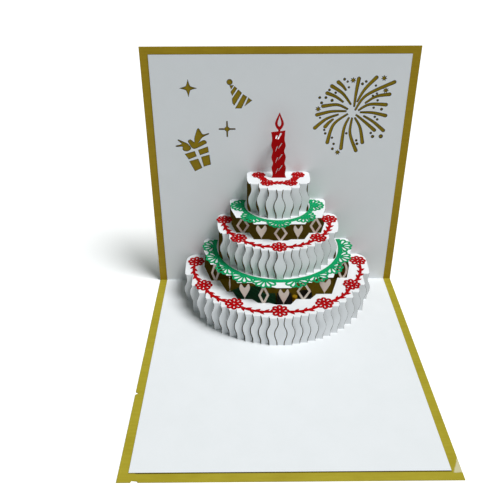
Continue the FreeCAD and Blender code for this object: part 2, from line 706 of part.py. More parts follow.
def band_outline(inner_radius, width, end_angle, shift, steps=14):
    angles = [-end_angle + 2 * end_angle * i / steps for i in range(steps + 1)]
    inner = [polar(inner_radius, angle, shift) for angle in angles]
    outer = [polar(inner_radius + width, angle, shift) for angle in angles]
    return inner + outer[::-1]


def petal(length, width):
    """Blunt petal from its hub outwards."""
    return [(-0.35, 0.0), (-width / 2, 0.66 * length), (-0.3 * width, 0.96 * length),
            (0.3 * width, 0.96 * length), (width / 2, 0.66 * length), (0.35, 0.0)]


def petal_hole(length, width):
    """Teardrop in a petal, pointed towards the hub."""
    return [(0.0, 0.22 * length), (-0.28 * width, 0.68 * length), (0.0, 0.87 * length),
            (0.28 * width, 0.68 * length)]


def lace_face(inner_radius, height, shift, end_angle, fan_angles, petal_angles, length, width):
    """Ring of paper with fans: a band, petals round each hub, and a teardrop in each petal."""
    band = size("lace_band")
    faces = [plan_face(band_outline(inner_radius, band, end_angle, shift), height)]
    holes = []
    for fan in fan_angles:
        hub = polar(inner_radius + 0.55 * band, fan, shift)
        for lean in petal_angles:
            faces.append(plan_face(turned(petal(length, width), hub, fan + lean), height))
            holes.append(plan_face(turned(petal_hole(length, width), hub, fan + lean), height))
    return joined(faces).cut(Part.makeCompound(holes))


LOWER_FANS = [12.8 + 18.8 * k for k in range(5)]
LOWER_FANS += [-angle for angle in LOWER_FANS]
UPPER_FANS = [-87.0, -44.5, 0.0, 44.5, 87.0]
lower_lace = trim(
    "lower_lace",
    lace_face(size("lower_lace_radius"), size("lower_flange_height"), size("lower_lace_shift"), 99, LOWER_FANS,
              (-64, -32, 0, 32, 64), size("lower_petal_length"), size("lower_petal_width")),
    Vector(0, 0, 1),
)
upper_lace = trim(
    "upper_lace",
    lace_face(size("upper_lace_radius"), size("upper_flange_height"), size("upper_lace_shift"), 106, UPPER_FANS,
              (-78, -52, -26, 0, 26, 52, 78), size("upper_petal_length"), size("upper_petal_width")),
    Vector(0, 0, 1),
)


def flower_outline(centre, radius):
    """Eight blunt petals."""
    points = []
    for i in range(8):
        middle = math.radians(45 * i)
        for offset, reach in ((-9, 1.0), (9, 1.0), (22.5, 0.74)):
            points.append(around(centre, reach * radius, middle + math.radians(offset)))
    return points


def flower_holes(centre, radius):
    """A small opening in every petal, pointed towards the middle."""
    holes = []
    for i in range(8):
        middle = math.radians(45 * i)
        hole = []
        for offset, reach in ((0, 0.34), (-11, 0.72), (11, 0.72)):
            hole.append(around(centre, reach * radius, middle + math.radians(offset)))
        holes.append(hole)
    return holes


def stem_faces(start, end, bow, height):
    """Stem between two flowers, bowed away from the tiers' axis, with small leaves on both sides."""
    width = size("stem_width")
    steps = 5
    length = math.hypot(end[0] - start[0], end[1] - start[1])
    out_x = (end[1] - start[1]) / length
    out_y = (start[0] - end[0]) / length
    middle_x = (start[0] + end[0]) / 2
    middle_y = (start[1] + end[1]) / 2 - ROUND
    side = 1 if out_x * middle_x + out_y * middle_y > 0 else -1
    points = []
    for i in range(steps + 1):
        part = i / steps
        swell = side * bow * 4 * part * (1 - part)
        x = start[0] + (end[0] - start[0]) * part + out_x * swell
        depth = start[1] + (end[1] - start[1]) * part + out_y * swell
        points.append((x, depth))
    faces = [plan_face(stroke(points, width), height)]
    for i in range(1, steps - 1):
        for flip, start_part in ((1, 0.1), (-1, 0.6)):
            faces.append(plan_face(stem_leaf(points[i], points[i + 1], start_part, width, flip), height))
    return faces


def stem_leaf(start, end, start_part, width, flip):
    """Pointed leaf on one side of a stem, leaning along it, with its sizes as parts of the stem's width."""
    run = math.hypot(end[0] - start[0], end[1] - start[1])
    along_x, along_y = (end[0] - start[0]) / run, (end[1] - start[1]) / run
    x = start[0] + (end[0] - start[0]) * start_part
    depth = start[1] + (end[1] - start[1]) * start_part
    leaf = []
    for along, aside in ((-0.3, 0.0), (1.0, 0.0), (1.4, 1.25)):
        leaf.append((x + width * (along * along_x - flip * aside * along_y),
                     depth + width * (along * along_y + flip * aside * along_x)))
    return leaf


def garland_face(path_radius, flowers, flower_radius, height, shift, bulge):
    """Flowers on a ring about the tiers' axis, joined by stems.

    Each flower has its angle and its part of the ring's radius; a stem bows out past the ring by bulge.
    """
    centres = [polar(path_radius * part, angle, shift) for angle, part in flowers]
    faces = []
    holes = []
    for centre in centres:
        faces.append(plan_face(flower_outline(centre, flower_radius), height))
        holes += [plan_face(hole, height) for hole in flower_holes(centre, flower_radius)]
    for i in range(len(centres) - 1):
        half_turn = math.radians(flowers[i + 1][0] - flowers[i][0]) / 2
        bow = path_radius * (1 - math.cos(half_turn)) + bulge if bulge else 0.0
        faces += stem_faces(centres[i], centres[i + 1], bow, height)
    return joined(faces).cut(Part.makeCompound(holes))


BOTTOM_FLOWERS = [(-89, 0.98), (-59, 1.0), (-30, 1.0), (0, 1.0), (30, 1.0), (59, 1.0), (89, 1.01)]
MIDDLE_FLOWERS = [(-89.5, 1.0), (-46, 1.0), (0, 1.0), (46, 1.0), (89.5, 1.0)]
TOP_FLOWERS = [(-103, 1.13), (-40, 1.0), (40, 1.0), (103, 1.15)]
SHIFT = size("garland_shift")
garland_bottom = trim(
    "garland_bottom",
    garland_face(size("bottom_garland_radius"), BOTTOM_FLOWERS, size("bottom_flower_radius"),
                 size("bottom_height"), SHIFT, size("bottom_stem_bulge")),
    Vector(0, 0, 1),
)
garland_middle = trim(
    "garland_middle",
    garland_face(size("middle_garland_radius"), MIDDLE_FLOWERS, size("middle_flower_radius"),
                 size("middle_height"), SHIFT, size("middle_stem_bulge")),
    Vector(0, 0, 1),
)
garland_top = trim(
    "garland_top",
    garland_face(size("top_garland_radius"), TOP_FLOWERS, size("top_flower_radius"),
                 size("top_height"), 0.0, 0.0),
    Vector(0, 0, 1),
)

# Candle: body with four twists, slanted slits, and a flame with a teardrop in it.
# Part of the body height and part of the half width.
CANDLE_SIDE = [(0.0, 1.0), (0.08, 0.84), (0.22, 0.98), (0.32, 0.8), (0.45, 0.98), (0.58, 0.78),
               (0.7, 0.98), (0.82, 0.82), (0.93, 0.86), (1.0, 0.95)]
# Part of the flame height and half width in millimetres.
FLAME_SIDE = [(0.0, 0.45), (0.1, 0.5), (0.22, 1.6), (0.38, 2.2), (0.55, 1.85), (0.75, 0.95), (1.0, 0.0)]
FLAME_HOLE = [(0.28, 0.0), (0.34, 0.75), (0.48, 0.95), (0.64, 0.45), (0.78, 0.0)]
SLIT_FOOTS = [0.11, 0.35, 0.6, 0.83]
CANDLE_FOOT_MIDDLE = 0.25
CANDLE_SHOULDER_TILT = 0.5
FLAME_MIDDLE = -0.15


def candle_face():
    foot = size("top_height")
    body = size("candle_body_height")
    half = size("candle_half_width")
    flame = size("flame_height")
    lean = size("candle_lean")
    shoulder = foot + body
    right = []
    left = []
    for part, wide in CANDLE_SIDE:
        middle = CANDLE_FOOT_MIDDLE + lean * part
        tilt = CANDLE_SHOULDER_TILT if part == 1.0 else 0.0
        right.append((middle + half * wide, foot + body * part + tilt))
        left.append((middle - half * wide, foot + body * part - tilt))
    for part, wide in FLAME_SIDE:
        right.append((FLAME_MIDDLE + wide, shoulder + flame * part))
        left.append((FLAME_MIDDLE - wide, shoulder + flame * part))
    outline = right + left[-2::-1]
    right_hole = [(FLAME_MIDDLE + wide, shoulder + flame * part) for part, wide in FLAME_HOLE]
    left_hole = [(FLAME_MIDDLE - wide, shoulder + flame * part) for part, wide in FLAME_HOLE[1:-1]]
    holes = [right_hole + left_hole[::-1]]
    for order, part in enumerate(SLIT_FOOTS):
        wide = 0.42 if order < 3 else 0.75
        low = foot + body * part
        reach = 1.0 if order < 3 else 0.72
        for x0, z0, x1, z1 in ((-1.7, 0.0, -0.75, 2.9), (-0.1, 1.5, 1.7, 4.7)):
            holes.append(stroke([(x0, low + z0 * reach), (x1, low + z1 * reach)], wide))
    return upright_face(outline, size("candle_depth"), holes)


candle = trim("candle", candle_face(), Vector(0, -1, 0))
doc.recompute()

# Sound module on the gold base leaf under the cake

MODULE_LINE = PAGE_BACK + " - Sizes.module_depth"

board = doc.addObject("PartDesign::Body", "circuit_board")
board.Label = "circuit_board"
board_sketch = board.newObject("Sketcher::SketchObject", "board_outline")
board_sketch.AttachmentSupport = [(origin_plane(board, "XY_Plane"), "")]
board_sketch.MapMode = "FlatFace"
# Corners of the board about the line of the module: to the right, forward.
BOARD_CORNERS = [
    (-29.0, 9.0), (-0.8, 9.0), (-0.8, -4.5), (-8.0, -4.5), (-10.0, -12.0), (-22.0, -12.0), (-29.0, -7.0),
]
constrain_sketch(board_sketch, [(x, -forward) for x, forward in BOARD_CORNERS])
board_pad = board.newObject("PartDesign::Pad", "board_pad")
board_pad.Profile = board_sketch
board_pad.setExpression("Length", "Sizes.board_thickness")
board.setExpression("Placement.Base.y", MODULE_LINE)
board.setExpression("Placement.Base.z", "Sizes.cover_thickness")

chip = doc.addObject("Part::Box", "black_chip")
chip.Label = "black_chip"
chip.setExpression("Length", "Sizes.chip_width")
chip.setExpression("Width", "Sizes.chip_depth")
chip.setExpression("Height", "Sizes.chip_height")
chip.setExpression("Placement.Base.x", "Sizes.chip_place")
chip.setExpression("Placement.Base.y", MODULE_LINE + " - Sizes.chip_depth * 0.7")
chip.setExpression("Placement.Base.z", "Sizes.cover_thickness")

lamp = doc.addObject("Part::Prism", "yellow_lamp")
lamp.Label = "yellow_lamp"
lamp.Polygon = 12
lamp.setExpression("Circumradius", "Sizes.lamp_radius")
lamp.setExpression("Height", "Sizes.lamp_radius * 1.6")
LAMP_PLACE = "Sizes.chip_place + Sizes.chip_width + Sizes.module_gap + Sizes.lamp_radius"
lamp.setExpression("Placement.Base.x", LAMP_PLACE)
lamp.setExpression("Placement.Base.y", MODULE_LINE)
lamp.setExpression("Placement.Base.z", "Sizes.cover_thickness")

cell = doc.addObject("Part::Cylinder", "button_cell")
cell.Label = "button_cell"
cell.setExpression("Radius", "Sizes.cell_radius")
cell.setExpression("Height", "Sizes.cell_height")
CELL_PLACE = LAMP_PLACE + " + Sizes.lamp_radius + Sizes.module_gap + Sizes.cell_radius"
cell.setExpression("Placement.Base.x", CELL_PLACE)
cell.setExpression("Placement.Base.y", MODULE_LINE + " + Sizes.cell_radius / 3")
cell.setExpression("Placement.Base.z", "Sizes.cover_thickness")
doc.recompute()

# Checks and export

for item in doc.Objects:
    state = " ".join(item.State)
    if "Invalid" in state or "Error" in state:
        raise RuntimeError("%s: %s" % (item.Name, state))

os.makedirs("parts", exist_ok=True)
nodes = [cover, inner_sheet, lower_lace, upper_lace, garland_bottom, garland_middle, garland_top,
         candle, board, chip, lamp, cell]
for node in nodes:
    shape = node.Shape
    if shape.isNull() or not shape.isValid():
        raise RuntimeError(node.Label + " has no valid shape")
    if len(shape.Solids) != 1:
        raise RuntimeError("%s has %d solids" % (node.Label, len(shape.Solids)))
    shape.exportStep("parts/%s.step" % node.Label)
    box = shape.BoundBox
    print("%-15s volume %9.2f  x %7.2f %7.2f  y %7.2f %7.2f  z %7.2f %7.2f" % (
        node.Label, shape.Volume, box.XMin, box.XMax, box.YMin, box.YMax, box.ZMin, box.ZMax))
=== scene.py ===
import math
import random

import bmesh
import bpy
from mathutils import Matrix, Vector
from mathutils.geometry import delaunay_2d_cdt


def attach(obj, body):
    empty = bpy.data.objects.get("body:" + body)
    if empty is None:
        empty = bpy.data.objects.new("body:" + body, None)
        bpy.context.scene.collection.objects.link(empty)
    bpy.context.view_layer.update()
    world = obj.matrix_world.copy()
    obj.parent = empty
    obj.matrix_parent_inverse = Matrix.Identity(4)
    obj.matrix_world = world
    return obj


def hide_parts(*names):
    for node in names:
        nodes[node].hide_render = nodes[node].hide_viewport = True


# Pop up card with a paper cake, in metres, in the same frame as the CAD parts.
# X runs to the right, Y to the back leaf and Z up from the table.

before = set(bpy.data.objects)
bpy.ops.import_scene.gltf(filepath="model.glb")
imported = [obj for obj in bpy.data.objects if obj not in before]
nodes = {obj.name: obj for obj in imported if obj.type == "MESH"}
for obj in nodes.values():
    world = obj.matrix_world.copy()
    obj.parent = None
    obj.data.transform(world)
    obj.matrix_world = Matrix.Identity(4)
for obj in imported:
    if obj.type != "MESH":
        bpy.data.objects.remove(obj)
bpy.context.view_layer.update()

MM = 0.001

# Camera: focal length and row in pixels of the photo, turns in degrees.
PHOTO_SIDE = 500
FOCAL_PIXELS = 580.74
PRINCIPAL_ROW = 218.76
CAMERA_PLACE = Vector((-18.2, -237.03, 220.55)) * MM
CAMERA_TILT = 60.699
CAMERA_YAW = -0.331
CAMERA_ROLL = -0.159

# Main sizes of the card, in millimetres: gold leaves' inner faces, paper and the two white pages.
BACK = 74.6
FLOOR = 0.4
PAGE = 0.3
PAGE_HALF = 70.4
PAGE_DEPTH = 145.1
PAGE_TOP = 145.5

# Places that the looks depend on, in metres. Pairs are the two ends of a soft change or of a band.
BACK_LEAF_FACE = BACK * MM
BASE_LEAF_FACE = FLOOR * MM
PAGE_FRONT_EDGE = (BACK - PAGE_DEPTH) * MM
PAGE_SIDE_EDGE = PAGE_HALF * MM
PAGE_TOP_EDGE = (FLOOR + PAGE_TOP) * MM
# Top of the cake: the gold below it gets deeper painted shade.
CAKE_TOP = 77.8 * MM
# Heights and back limit of the struts, which get a painted warm tint of reflected gold light and shade.
LOWER_BAND = (20.0 * MM, 31.0 * MM)
UPPER_BAND = (49.8 * MM, 59.0 * MM)
BAND_BACK = (73.8 * MM, 74.0 * MM)
BASE_PAGE_TOP = (0.8 * MM, 0.9 * MM)
UPRIGHT_FOOT = (0.7 * MM, 0.8 * MM)
# Ends and width of the painted shadow line along the base page's front edge.
DARK_LINE_ENDS = (-67 * MM, 70 * MM)
DARK_LINE_WIDTH = 0.35 * MM
SOFT = 0.1 * MM
# Rubbed spot at the side of the front right corner: it widens forwards from its tip at the edge.
RUB_SLOPE = 0.49
RUB_TIP = -63.5 * MM
RUB_FRONT = -70.6 * MM
RUB_SIDE = 75.8 * MM - RUB_TIP * RUB_SLOPE
RUB_RAGGED = 1.6 * MM


# Shader graph helpers

class Graph:
    """Nodes of one material, made and joined in a few words."""

    def __init__(self, name):
        self.material = bpy.data.materials.new(name)
        self.material.use_nodes = True
        self.tree = self.material.node_tree
        self.tree.nodes.clear()
        self.output = self.tree.nodes.new("ShaderNodeOutputMaterial")
        self.shader = self.tree.nodes.new("ShaderNodeBsdfPrincipled")
        self.join(self.shader.outputs["BSDF"], self.output.inputs["Surface"])
        self.place = self.tree.nodes.new("ShaderNodeTexCoord").outputs["Object"]

    def join(self, source, target):
        self.tree.links.new(source, target)

    def feed(self, socket, value):
        if isinstance(value, bpy.types.NodeSocket):
            self.join(value, socket)
        else:
            socket.default_value = value

    def math(self, operation, first, second=0.0, clamp=False):
        node = self.tree.nodes.new("ShaderNodeMath")
        node.operation = operation
        node.use_clamp = clamp
        for socket, value in zip(node.inputs, (first, second)):
            self.feed(socket, value)
        return node.outputs[0]

    def times(self, first, *others):
        """Product of all the values."""
        for other in others:
            first = self.math("MULTIPLY", first, other)
        return first

    def noise(self, scale, detail=3.0, roughness=0.55, stretch=(1, 1, 1)):
        mapping = self.tree.nodes.new("ShaderNodeMapping")
        mapping.inputs["Scale"].default_value = stretch
        self.join(self.place, mapping.inputs["Vector"])
        node = self.tree.nodes.new("ShaderNodeTexNoise")
        node.inputs["Scale"].default_value = scale
        node.inputs["Detail"].default_value = detail
        node.inputs["Roughness"].default_value = roughness
        self.join(mapping.outputs["Vector"], node.inputs["Vector"])
        return node.outputs["Fac"]

    def spread(self, value, low, high, new_low=0.0, new_high=1.0):
        node = self.tree.nodes.new("ShaderNodeMapRange")
        for socket, number in zip(node.inputs[1:5], (low, high, new_low, new_high)):
            socket.default_value = number
        self.join(value, node.inputs["Value"])
        return node.outputs["Result"]

    def blend(self, part, first, second):
        node = self.tree.nodes.new("ShaderNodeMix")
        node.data_type = "RGBA"
        self.feed(node.inputs["Factor"], part)
        self.feed(node.inputs["A"], first)
        self.feed(node.inputs["B"], second)
        return node.outputs["Result"]

    def axes(self):
        node = self.tree.nodes.new("ShaderNodeSeparateXYZ")
        self.join(self.place, node.inputs[0])
        return node.outputs["X"], node.outputs["Y"], node.outputs["Z"]

    def bump(self, height, strength, distance):
        node = self.tree.nodes.new("ShaderNodeBump")
        node.inputs["Strength"].default_value = strength
        node.inputs["Distance"].default_value = distance
        self.join(height, node.inputs["Height"])
        self.join(node.outputs["Normal"], self.shader.inputs["Normal"])

    def inside(self, value, low, high, soft):
        """One between two limits, falling to zero over a soft edge."""
        rise = self.spread(value, low - soft, low)
        fall = self.spread(value, high, high + soft, 1.0, 0.0)
        return self.math("MULTIPLY", rise, fall)


def rgb(red, green, blue):
    """Linear colour from the 0 to 255 values that a screen shows."""
    def linear(value):
        part = value / 255
        return part / 12.92 if part <= 0.04045 else ((part + 0.055) / 1.055) ** 2.4
    return (linear(red), linear(green), linear(blue), 1.0)


# Materials

def paper(name, colour, shade, rough):
    """Matt paper with cloudy tone, short fibres and a slight tooth."""
    g = Graph(name)
    cloud = g.noise(90, 4.0)
    fibres = g.noise(1400, 6.0, 0.7, (1.0, 0.25, 1.0))
    tone = g.math("ADD", g.times(g.spread(cloud, 0.35, 0.65), 0.5), g.times(g.spread(fibres, 0.3, 0.7), 0.12))
    g.join(g.blend(tone, colour, shade), g.shader.inputs["Base Color"])
    g.join(g.spread(fibres, 0.3, 0.7, rough - 0.06, rough + 0.06), g.shader.inputs["Roughness"])
    g.shader.inputs["Specular IOR Level"].default_value = 0.08
    g.bump(fibres, 0.12, 0.00004)
    return g.material


def white_card():
    """White sheet: faint clouds and fibres, struts tinted warm by painted light reflected from the gold and painted
    shade, and small marks on the base page.
    """
    g = Graph("white_card")
    x, y, z = g.axes()
    cloud = g.noise(60, 4.0)
    fibres = g.noise(1500, 6.0, 0.7, (1.0, 0.3, 1.0))
    tone = g.math("ADD", g.times(g.spread(cloud, 0.35, 0.65), 0.4), g.times(g.spread(fibres, 0.3, 0.7), 0.2))
    colour = g.blend(tone, (0.86, 0.88, 0.90, 1), (0.82, 0.845, 0.86, 1))
    # Painted light: the struts are tinted warm beige as if lit by the gold's reflected glow and shaded.
    lower = g.inside(z, *LOWER_BAND, SOFT / 2)
    upper = g.inside(z, *UPPER_BAND, SOFT / 2)
    struts = g.times(g.math("ADD", lower, upper, clamp=True), g.spread(y, *BAND_BACK, 1.0, 0.0))
    colour = g.blend(struts, colour, rgb(224, 212, 200))
    marks = g.spread(g.noise(420, 5.0, 0.7), 0.735, 0.76)
    flat = g.spread(z, *BASE_PAGE_TOP, 1.0, 0.0)
    colour = g.blend(g.times(marks, flat, 0.35), colour, rgb(190, 190, 186))
    g.join(colour, g.shader.inputs["Base Color"])
    g.join(g.spread(fibres, 0.3, 0.7, 0.72, 0.84), g.shader.inputs["Roughness"])
    g.shader.inputs["Specular IOR Level"].default_value = 0.25
    g.bump(fibres, 0.1, 0.00004)
    return g.material


def shaded_cut_edge():
    """Cut edge of the white card, painted an uneven dark brown as shade."""
    g = Graph("shaded_cut_edge")
    mottle = g.noise(900, 5.0, 0.7)
    g.join(g.blend(g.spread(mottle, 0.3, 0.7), rgb(40, 38, 30), rgb(70, 64, 52)), g.shader.inputs["Base Color"])
    g.join(g.spread(mottle, 0.3, 0.7, 0.8, 0.95), g.shader.inputs["Roughness"])
    g.shader.inputs["Specular IOR Level"].default_value = 0.1
    g.bump(mottle, 0.1, 0.00003)
    return g.material


def gold_card():
    """Printed gold: fine streaks and a rubbed corner; painted light and shade on the two leaves, a darker field of
    painted shade behind the pages and a dark line of painted shadow.
    """
    g = Graph("gold_card")
    x, y, z = g.axes()
    streaks = g.noise(700, 5.0, 0.65, (0.12, 1.0, 1.0))
    grain = g.noise(2600, 4.0, 0.7)
    cloud = g.noise(45, 3.0)
    tone = g.math("ADD", g.times(g.spread(streaks, 0.3, 0.7), 0.6), g.times(g.spread(cloud, 0.35, 0.65), 0.4))
    # Painted light and shade: one gold print, lighter and yellower on the base leaf, darker on the upright leaf.
    colour = g.blend(tone, rgb(186, 172, 54), rgb(168, 152, 38))
    upright_leaf = g.blend(tone, rgb(178, 150, 30), rgb(162, 132, 18))
    colour = g.blend(g.spread(z, *UPRIGHT_FOOT), colour, upright_leaf)
    # Painted shade: the gold behind the pages is darkened as if shaded by the paper.
    across = g.inside(x, -PAGE_SIDE_EDGE, PAGE_SIDE_EDGE, SOFT)
    on_base = g.inside(z, BASE_LEAF_FACE - SOFT / 2, BASE_LEAF_FACE + 2 * SOFT, SOFT)
    on_back = g.spread(y, BACK_LEAF_FACE + SOFT / 2, BACK_LEAF_FACE + SOFT, 1.0, 0.0)
    behind_base = g.times(on_base, g.spread(y, PAGE_FRONT_EDGE - SOFT, PAGE_FRONT_EDGE))
    behind_back = g.times(on_back, g.inside(z, UPRIGHT_FOOT[0], PAGE_TOP_EDGE, SOFT))
    behind = g.times(g.math("ADD", behind_base, behind_back, clamp=True), across)
    colour = g.blend(g.times(behind, 0.8), colour, rgb(146, 122, 6))
    # Painted shade: the gold inside the cake is darker still.
    in_cake = g.times(behind, g.spread(z, CAKE_TOP - 3 * SOFT, CAKE_TOP, 1.0, 0.0))
    colour = g.blend(g.times(in_cake, 0.8), colour, rgb(86, 66, 6))
    colour = g.blend(g.times(g.spread(grain, 0.56, 0.72), 0.25), colour, rgb(206, 184, 90))
    ragged = g.times(g.noise(500, 4.0), RUB_RAGGED)
    from_side = g.math("ADD", g.math("SUBTRACT", x, g.times(y, RUB_SLOPE)), ragged)
    rubbed_side = g.spread(from_side, RUB_SIDE - 2 * SOFT, RUB_SIDE + 2 * SOFT)
    rubbed_front = g.spread(g.math("ADD", y, ragged), RUB_FRONT - 2 * SOFT, RUB_FRONT + 2 * SOFT)
    colour = g.blend(g.times(rubbed_side, rubbed_front, 0.75), colour, rgb(226, 220, 186))
    # Painted shadow: a dark line on the gold where the base page's front edge shades it.
    line = g.inside(y, PAGE_FRONT_EDGE - DARK_LINE_WIDTH, PAGE_FRONT_EDGE, SOFT)
    within = g.times(g.inside(x, *DARK_LINE_ENDS, 10 * SOFT), on_base)
    colour = g.blend(g.times(line, within, 0.75), colour, rgb(60, 50, 12))
    g.join(colour, g.shader.inputs["Base Color"])
    g.shader.inputs["Metallic"].default_value = 0.1
    g.shader.inputs["Specular IOR Level"].default_value = 0.2
    g.join(g.spread(streaks, 0.3, 0.7, 0.42, 0.58), g.shader.inputs["Roughness"])
    g.bump(streaks, 0.15, 0.00005)
    return g.material


def module_plastic(name, colour, shade, rough, metallic=0.0):
    """Speckled plastic, or steel when it is metallic."""
    g = Graph(name)
    speckle = g.noise(1800, 4.0, 0.6)
    g.join(g.blend(g.spread(speckle, 0.4, 0.65), colour, shade), g.shader.inputs["Base Color"])
    g.join(g.spread(speckle, 0.3, 0.7, rough - 0.08, rough + 0.08), g.shader.inputs["Roughness"])
    g.shader.inputs["Metallic"].default_value = metallic
    g.bump(speckle, 0.1, 0.00005)
    return g.material


def circuit_board():
    """Dark green lacquer with thin raised tracks."""
    g = Graph("circuit_board")
    x, y, _ = g.axes()
    tracks_a_metre = 260.0
    across = g.math("FRACT", g.times(g.math("ADD", x, y), tracks_a_metre))
    tracks = g.inside(across, 0.4, 0.58, 0.05)
    speckle = g.noise(900, 4.0)
    colour = g.blend(g.spread(speckle, 0.4, 0.65), rgb(12, 62, 38), rgb(8, 44, 28))
    colour = g.blend(g.times(tracks, 0.5), colour, rgb(24, 96, 60))
    g.join(colour, g.shader.inputs["Base Color"])
    g.shader.inputs["Roughness"].default_value = 0.35
    g.bump(tracks, 0.3, 0.00008)
    return g.material


red = paper("red_paper", rgb(180, 3, 7), rgb(152, 1, 4), 0.75)
green = paper("green_paper", rgb(14, 160, 100), rgb(8, 136, 82), 0.78)
looks = {
    "cover": gold_card(),
    "inner_sheet": white_card(),
    "lower_lace": green,
    "upper_lace": green,
    "garland_bottom": red,
    "garland_middle": red,
    "garland_top": red,
    "candle": red,
    "circuit_board": circuit_board(),
    "black_chip": module_plastic("black_plastic", rgb(20, 20, 22), rgb(34, 34, 36), 0.4),
    "yellow_lamp": module_plastic("yellow_plastic", rgb(228, 180, 40), rgb(206, 150, 20), 0.3),
    "button_cell": module_plastic("cell_steel", rgb(70, 72, 74), rgb(52, 54, 56), 0.35, 0.9),
}
for name, material in looks.items():
    node = nodes[name]
    node.data.materials.clear()
    node.data.materials.append(material)


# Fine pieces. Lengths below are in millimetres until a point is placed.
# Plan outlines are (x, depth) with depth forward from the gold back leaf.
# Upright outlines are (x, height) with height up from the gold base leaf.

TRIM = 0.3
# The tiers' round fronts have their axis this far forward from the back leaf.
ROUND = 7.5
KERF = 0.3
FOLD = 0.45
# What one paper face reaches into the next, and what a cut is narrower than its paper.
LAP = 0.1
OPENING_LAP = 0.02
NOTCH_LAP = 0.03
WAVE_BULGE = 1.4
# A strip's swing fades over this height at both its ends.
TAPER = 1.5
FOLD_STEPS = 5
STRIP_STEPS = 28
STRUT_STROKE = 1.25
SHELF_CORNER = 3.0
# Rims painted dark brown as shade round the pictures' cuts, inside and outside the dots, and along the strips.
SHADE_RIM = 0.22
DOT_RIM = 0.2
STRIP_RIM = 0.11
TIERS = {
    "bottom": {"half_width": 56.2, "radius": 56.3, "top": 19.5, "corner": 7.0, "half": 2.0, "pitch": 4.45,
               "forward": 0.4, "count": 12, "level": 1},
    "middle": {"half_width": 35.9, "radius": 35.7, "top": 49.0, "corner": 5.0, "half": 2.1, "pitch": 4.4,
               "forward": 1.0, "count": 7, "level": 0},
    "top": {"half_width": 18.2, "radius": 17.5, "top": 77.0, "corner": 3.0, "half": 1.75, "pitch": 4.85,
            "forward": -0.2, "count": 3, "level": 0},
}
BOTTOM, MIDDLE, TOP = TIERS["bottom"], TIERS["middle"], TIERS["top"]
LOWER_SHELF = {"top": 31.0, "half": 45.0, "turn": (0.99, 0.31)}
UPPER_SHELF = {"top": 59.0, "half": 28.5, "turn": (0.965, 0.46)}
# Struts: left end, right end and depth as parts of the shelf's half width, and the pattern.
LOWER_STRUTS = [
    (-0.88, -0.769, 0.644, "lozenge"), (-0.667, -0.591, 0.893, "leaf"), (-0.531, -0.347, 1.053, "heart"),
    (-0.271, -0.138, 1.133, "lozenge"), (-0.049, 0.133, 1.167, "heart"), (0.209, 0.387, 1.058, "lozenge"),
    (0.476, 0.671, 0.953, "heart"), (0.791, 0.916, 0.598, "leaf"),
]
UPPER_STRUTS = [
    (-0.856, -0.596, 0.818, "lozenge"), (-0.505, -0.211, 1.081, "heart"), (-0.112, 0.154, 1.133, "lozenge"),
    (0.232, 0.498, 1.088, "heart"), (0.618, 0.856, 0.842, "lozenge"),
]
CANDLE_STRUT = {"half": 2.3, "depth": 8.15, "tab": 98.6}
# Part of the way down a cut, and its swing to the side as a part of the bulge.
WAVE = [(0.0, 0.0), (0.08, -0.13), (0.18, -0.28), (0.27, -0.16), (0.36, 0.3), (0.46, 0.84), (0.57, 1.0),
        (0.68, 0.8), (0.79, 0.34), (0.88, 0.05), (1.0, 0.0)]


def in_plan(x, depth, height):
    return Vector((x, BACK - depth, FLOOR + height)) * MM


def upright(x, height, depth):
    return Vector((x, BACK - depth, FLOOR + height)) * MM


def signed_area(outline):
    total = 0.0
    for (x0, y0), (x1, y1) in zip(outline, outline[1:] + outline[:1]):
        total += x0 * y1 - x1 * y0
    return total / 2


def rounded(points, steps=4, closed=True):
    """Smooth curve through all the points."""
    count = len(points)
    curve = []
    for i in range(count if closed else count - 1):
        if closed:
            p0, p1, p2, p3 = (points[(i + k - 1) % count] for k in range(4))
        else:
            p0, p1, p2, p3 = (points[min(max(i + k - 1, 0), count - 1)] for k in range(4))
        for step in range(steps):
            t = step / steps
            curve.append(tuple(
                0.5 * (2 * b + (c - a) * t + (2 * a - 5 * b + 4 * c - d) * t * t + (3 * b - a - 3 * c + d) * t ** 3)
                for a, b, c, d in zip(p0, p1, p2, p3)
            ))
    return curve if closed else curve + [points[-1]]


def around(centre, reach, turn):
    return (centre[0] + reach * math.cos(turn), centre[1] + reach * math.sin(turn))


def disc(centre, radius, corners=20):
    return [around(centre, radius, 2 * math.pi * i / corners) for i in range(corners)]


def polar(radius, angle, shift=0.0):
    """Plan point on a ring about the tiers' axis; the angle runs from the front to the right."""
    turn = math.radians(angle)
    return (shift + radius * math.sin(turn), ROUND + radius * math.cos(turn))


def turned(points, hub, angle):
    """Points given as (across, outwards) about a hub, turned to face along a plan angle."""
    turn = math.radians(angle)
    return [(hub[0] + across * math.cos(turn) + out * math.sin(turn),
             hub[1] - across * math.sin(turn) + out * math.cos(turn)) for across, out in points]


def mirrored(right_half):
    return right_half + [(-x, y) for x, y in reversed(right_half)]


def offset_line(points, half, closed=False):
    """The two sides of a line of some half width; half may be a list with one value a point."""
    count = len(points)
    halves = half if isinstance(half, list) else [half] * count
    left = []
    right = []
    for i, (x, y) in enumerate(points):
        before = points[i - 1] if closed or i > 0 else points[i]
        after = points[(i + 1) % count] if closed or i < count - 1 else points[i]
        length = math.hypot(after[0] - before[0], after[1] - before[1])
        nx = (before[1] - after[1]) / length
        ny = (after[0] - before[0]) / length
        left.append((x + nx * halves[i], y + ny * halves[i]))
        right.append((x - nx * halves[i], y - ny * halves[i]))
    return left, right


def widened(outline, rim):
    """Closed outline moved outwards by the width of a rim."""
    return max(offset_line(outline, rim, closed=True), key=lambda ring: abs(signed_area(ring)))


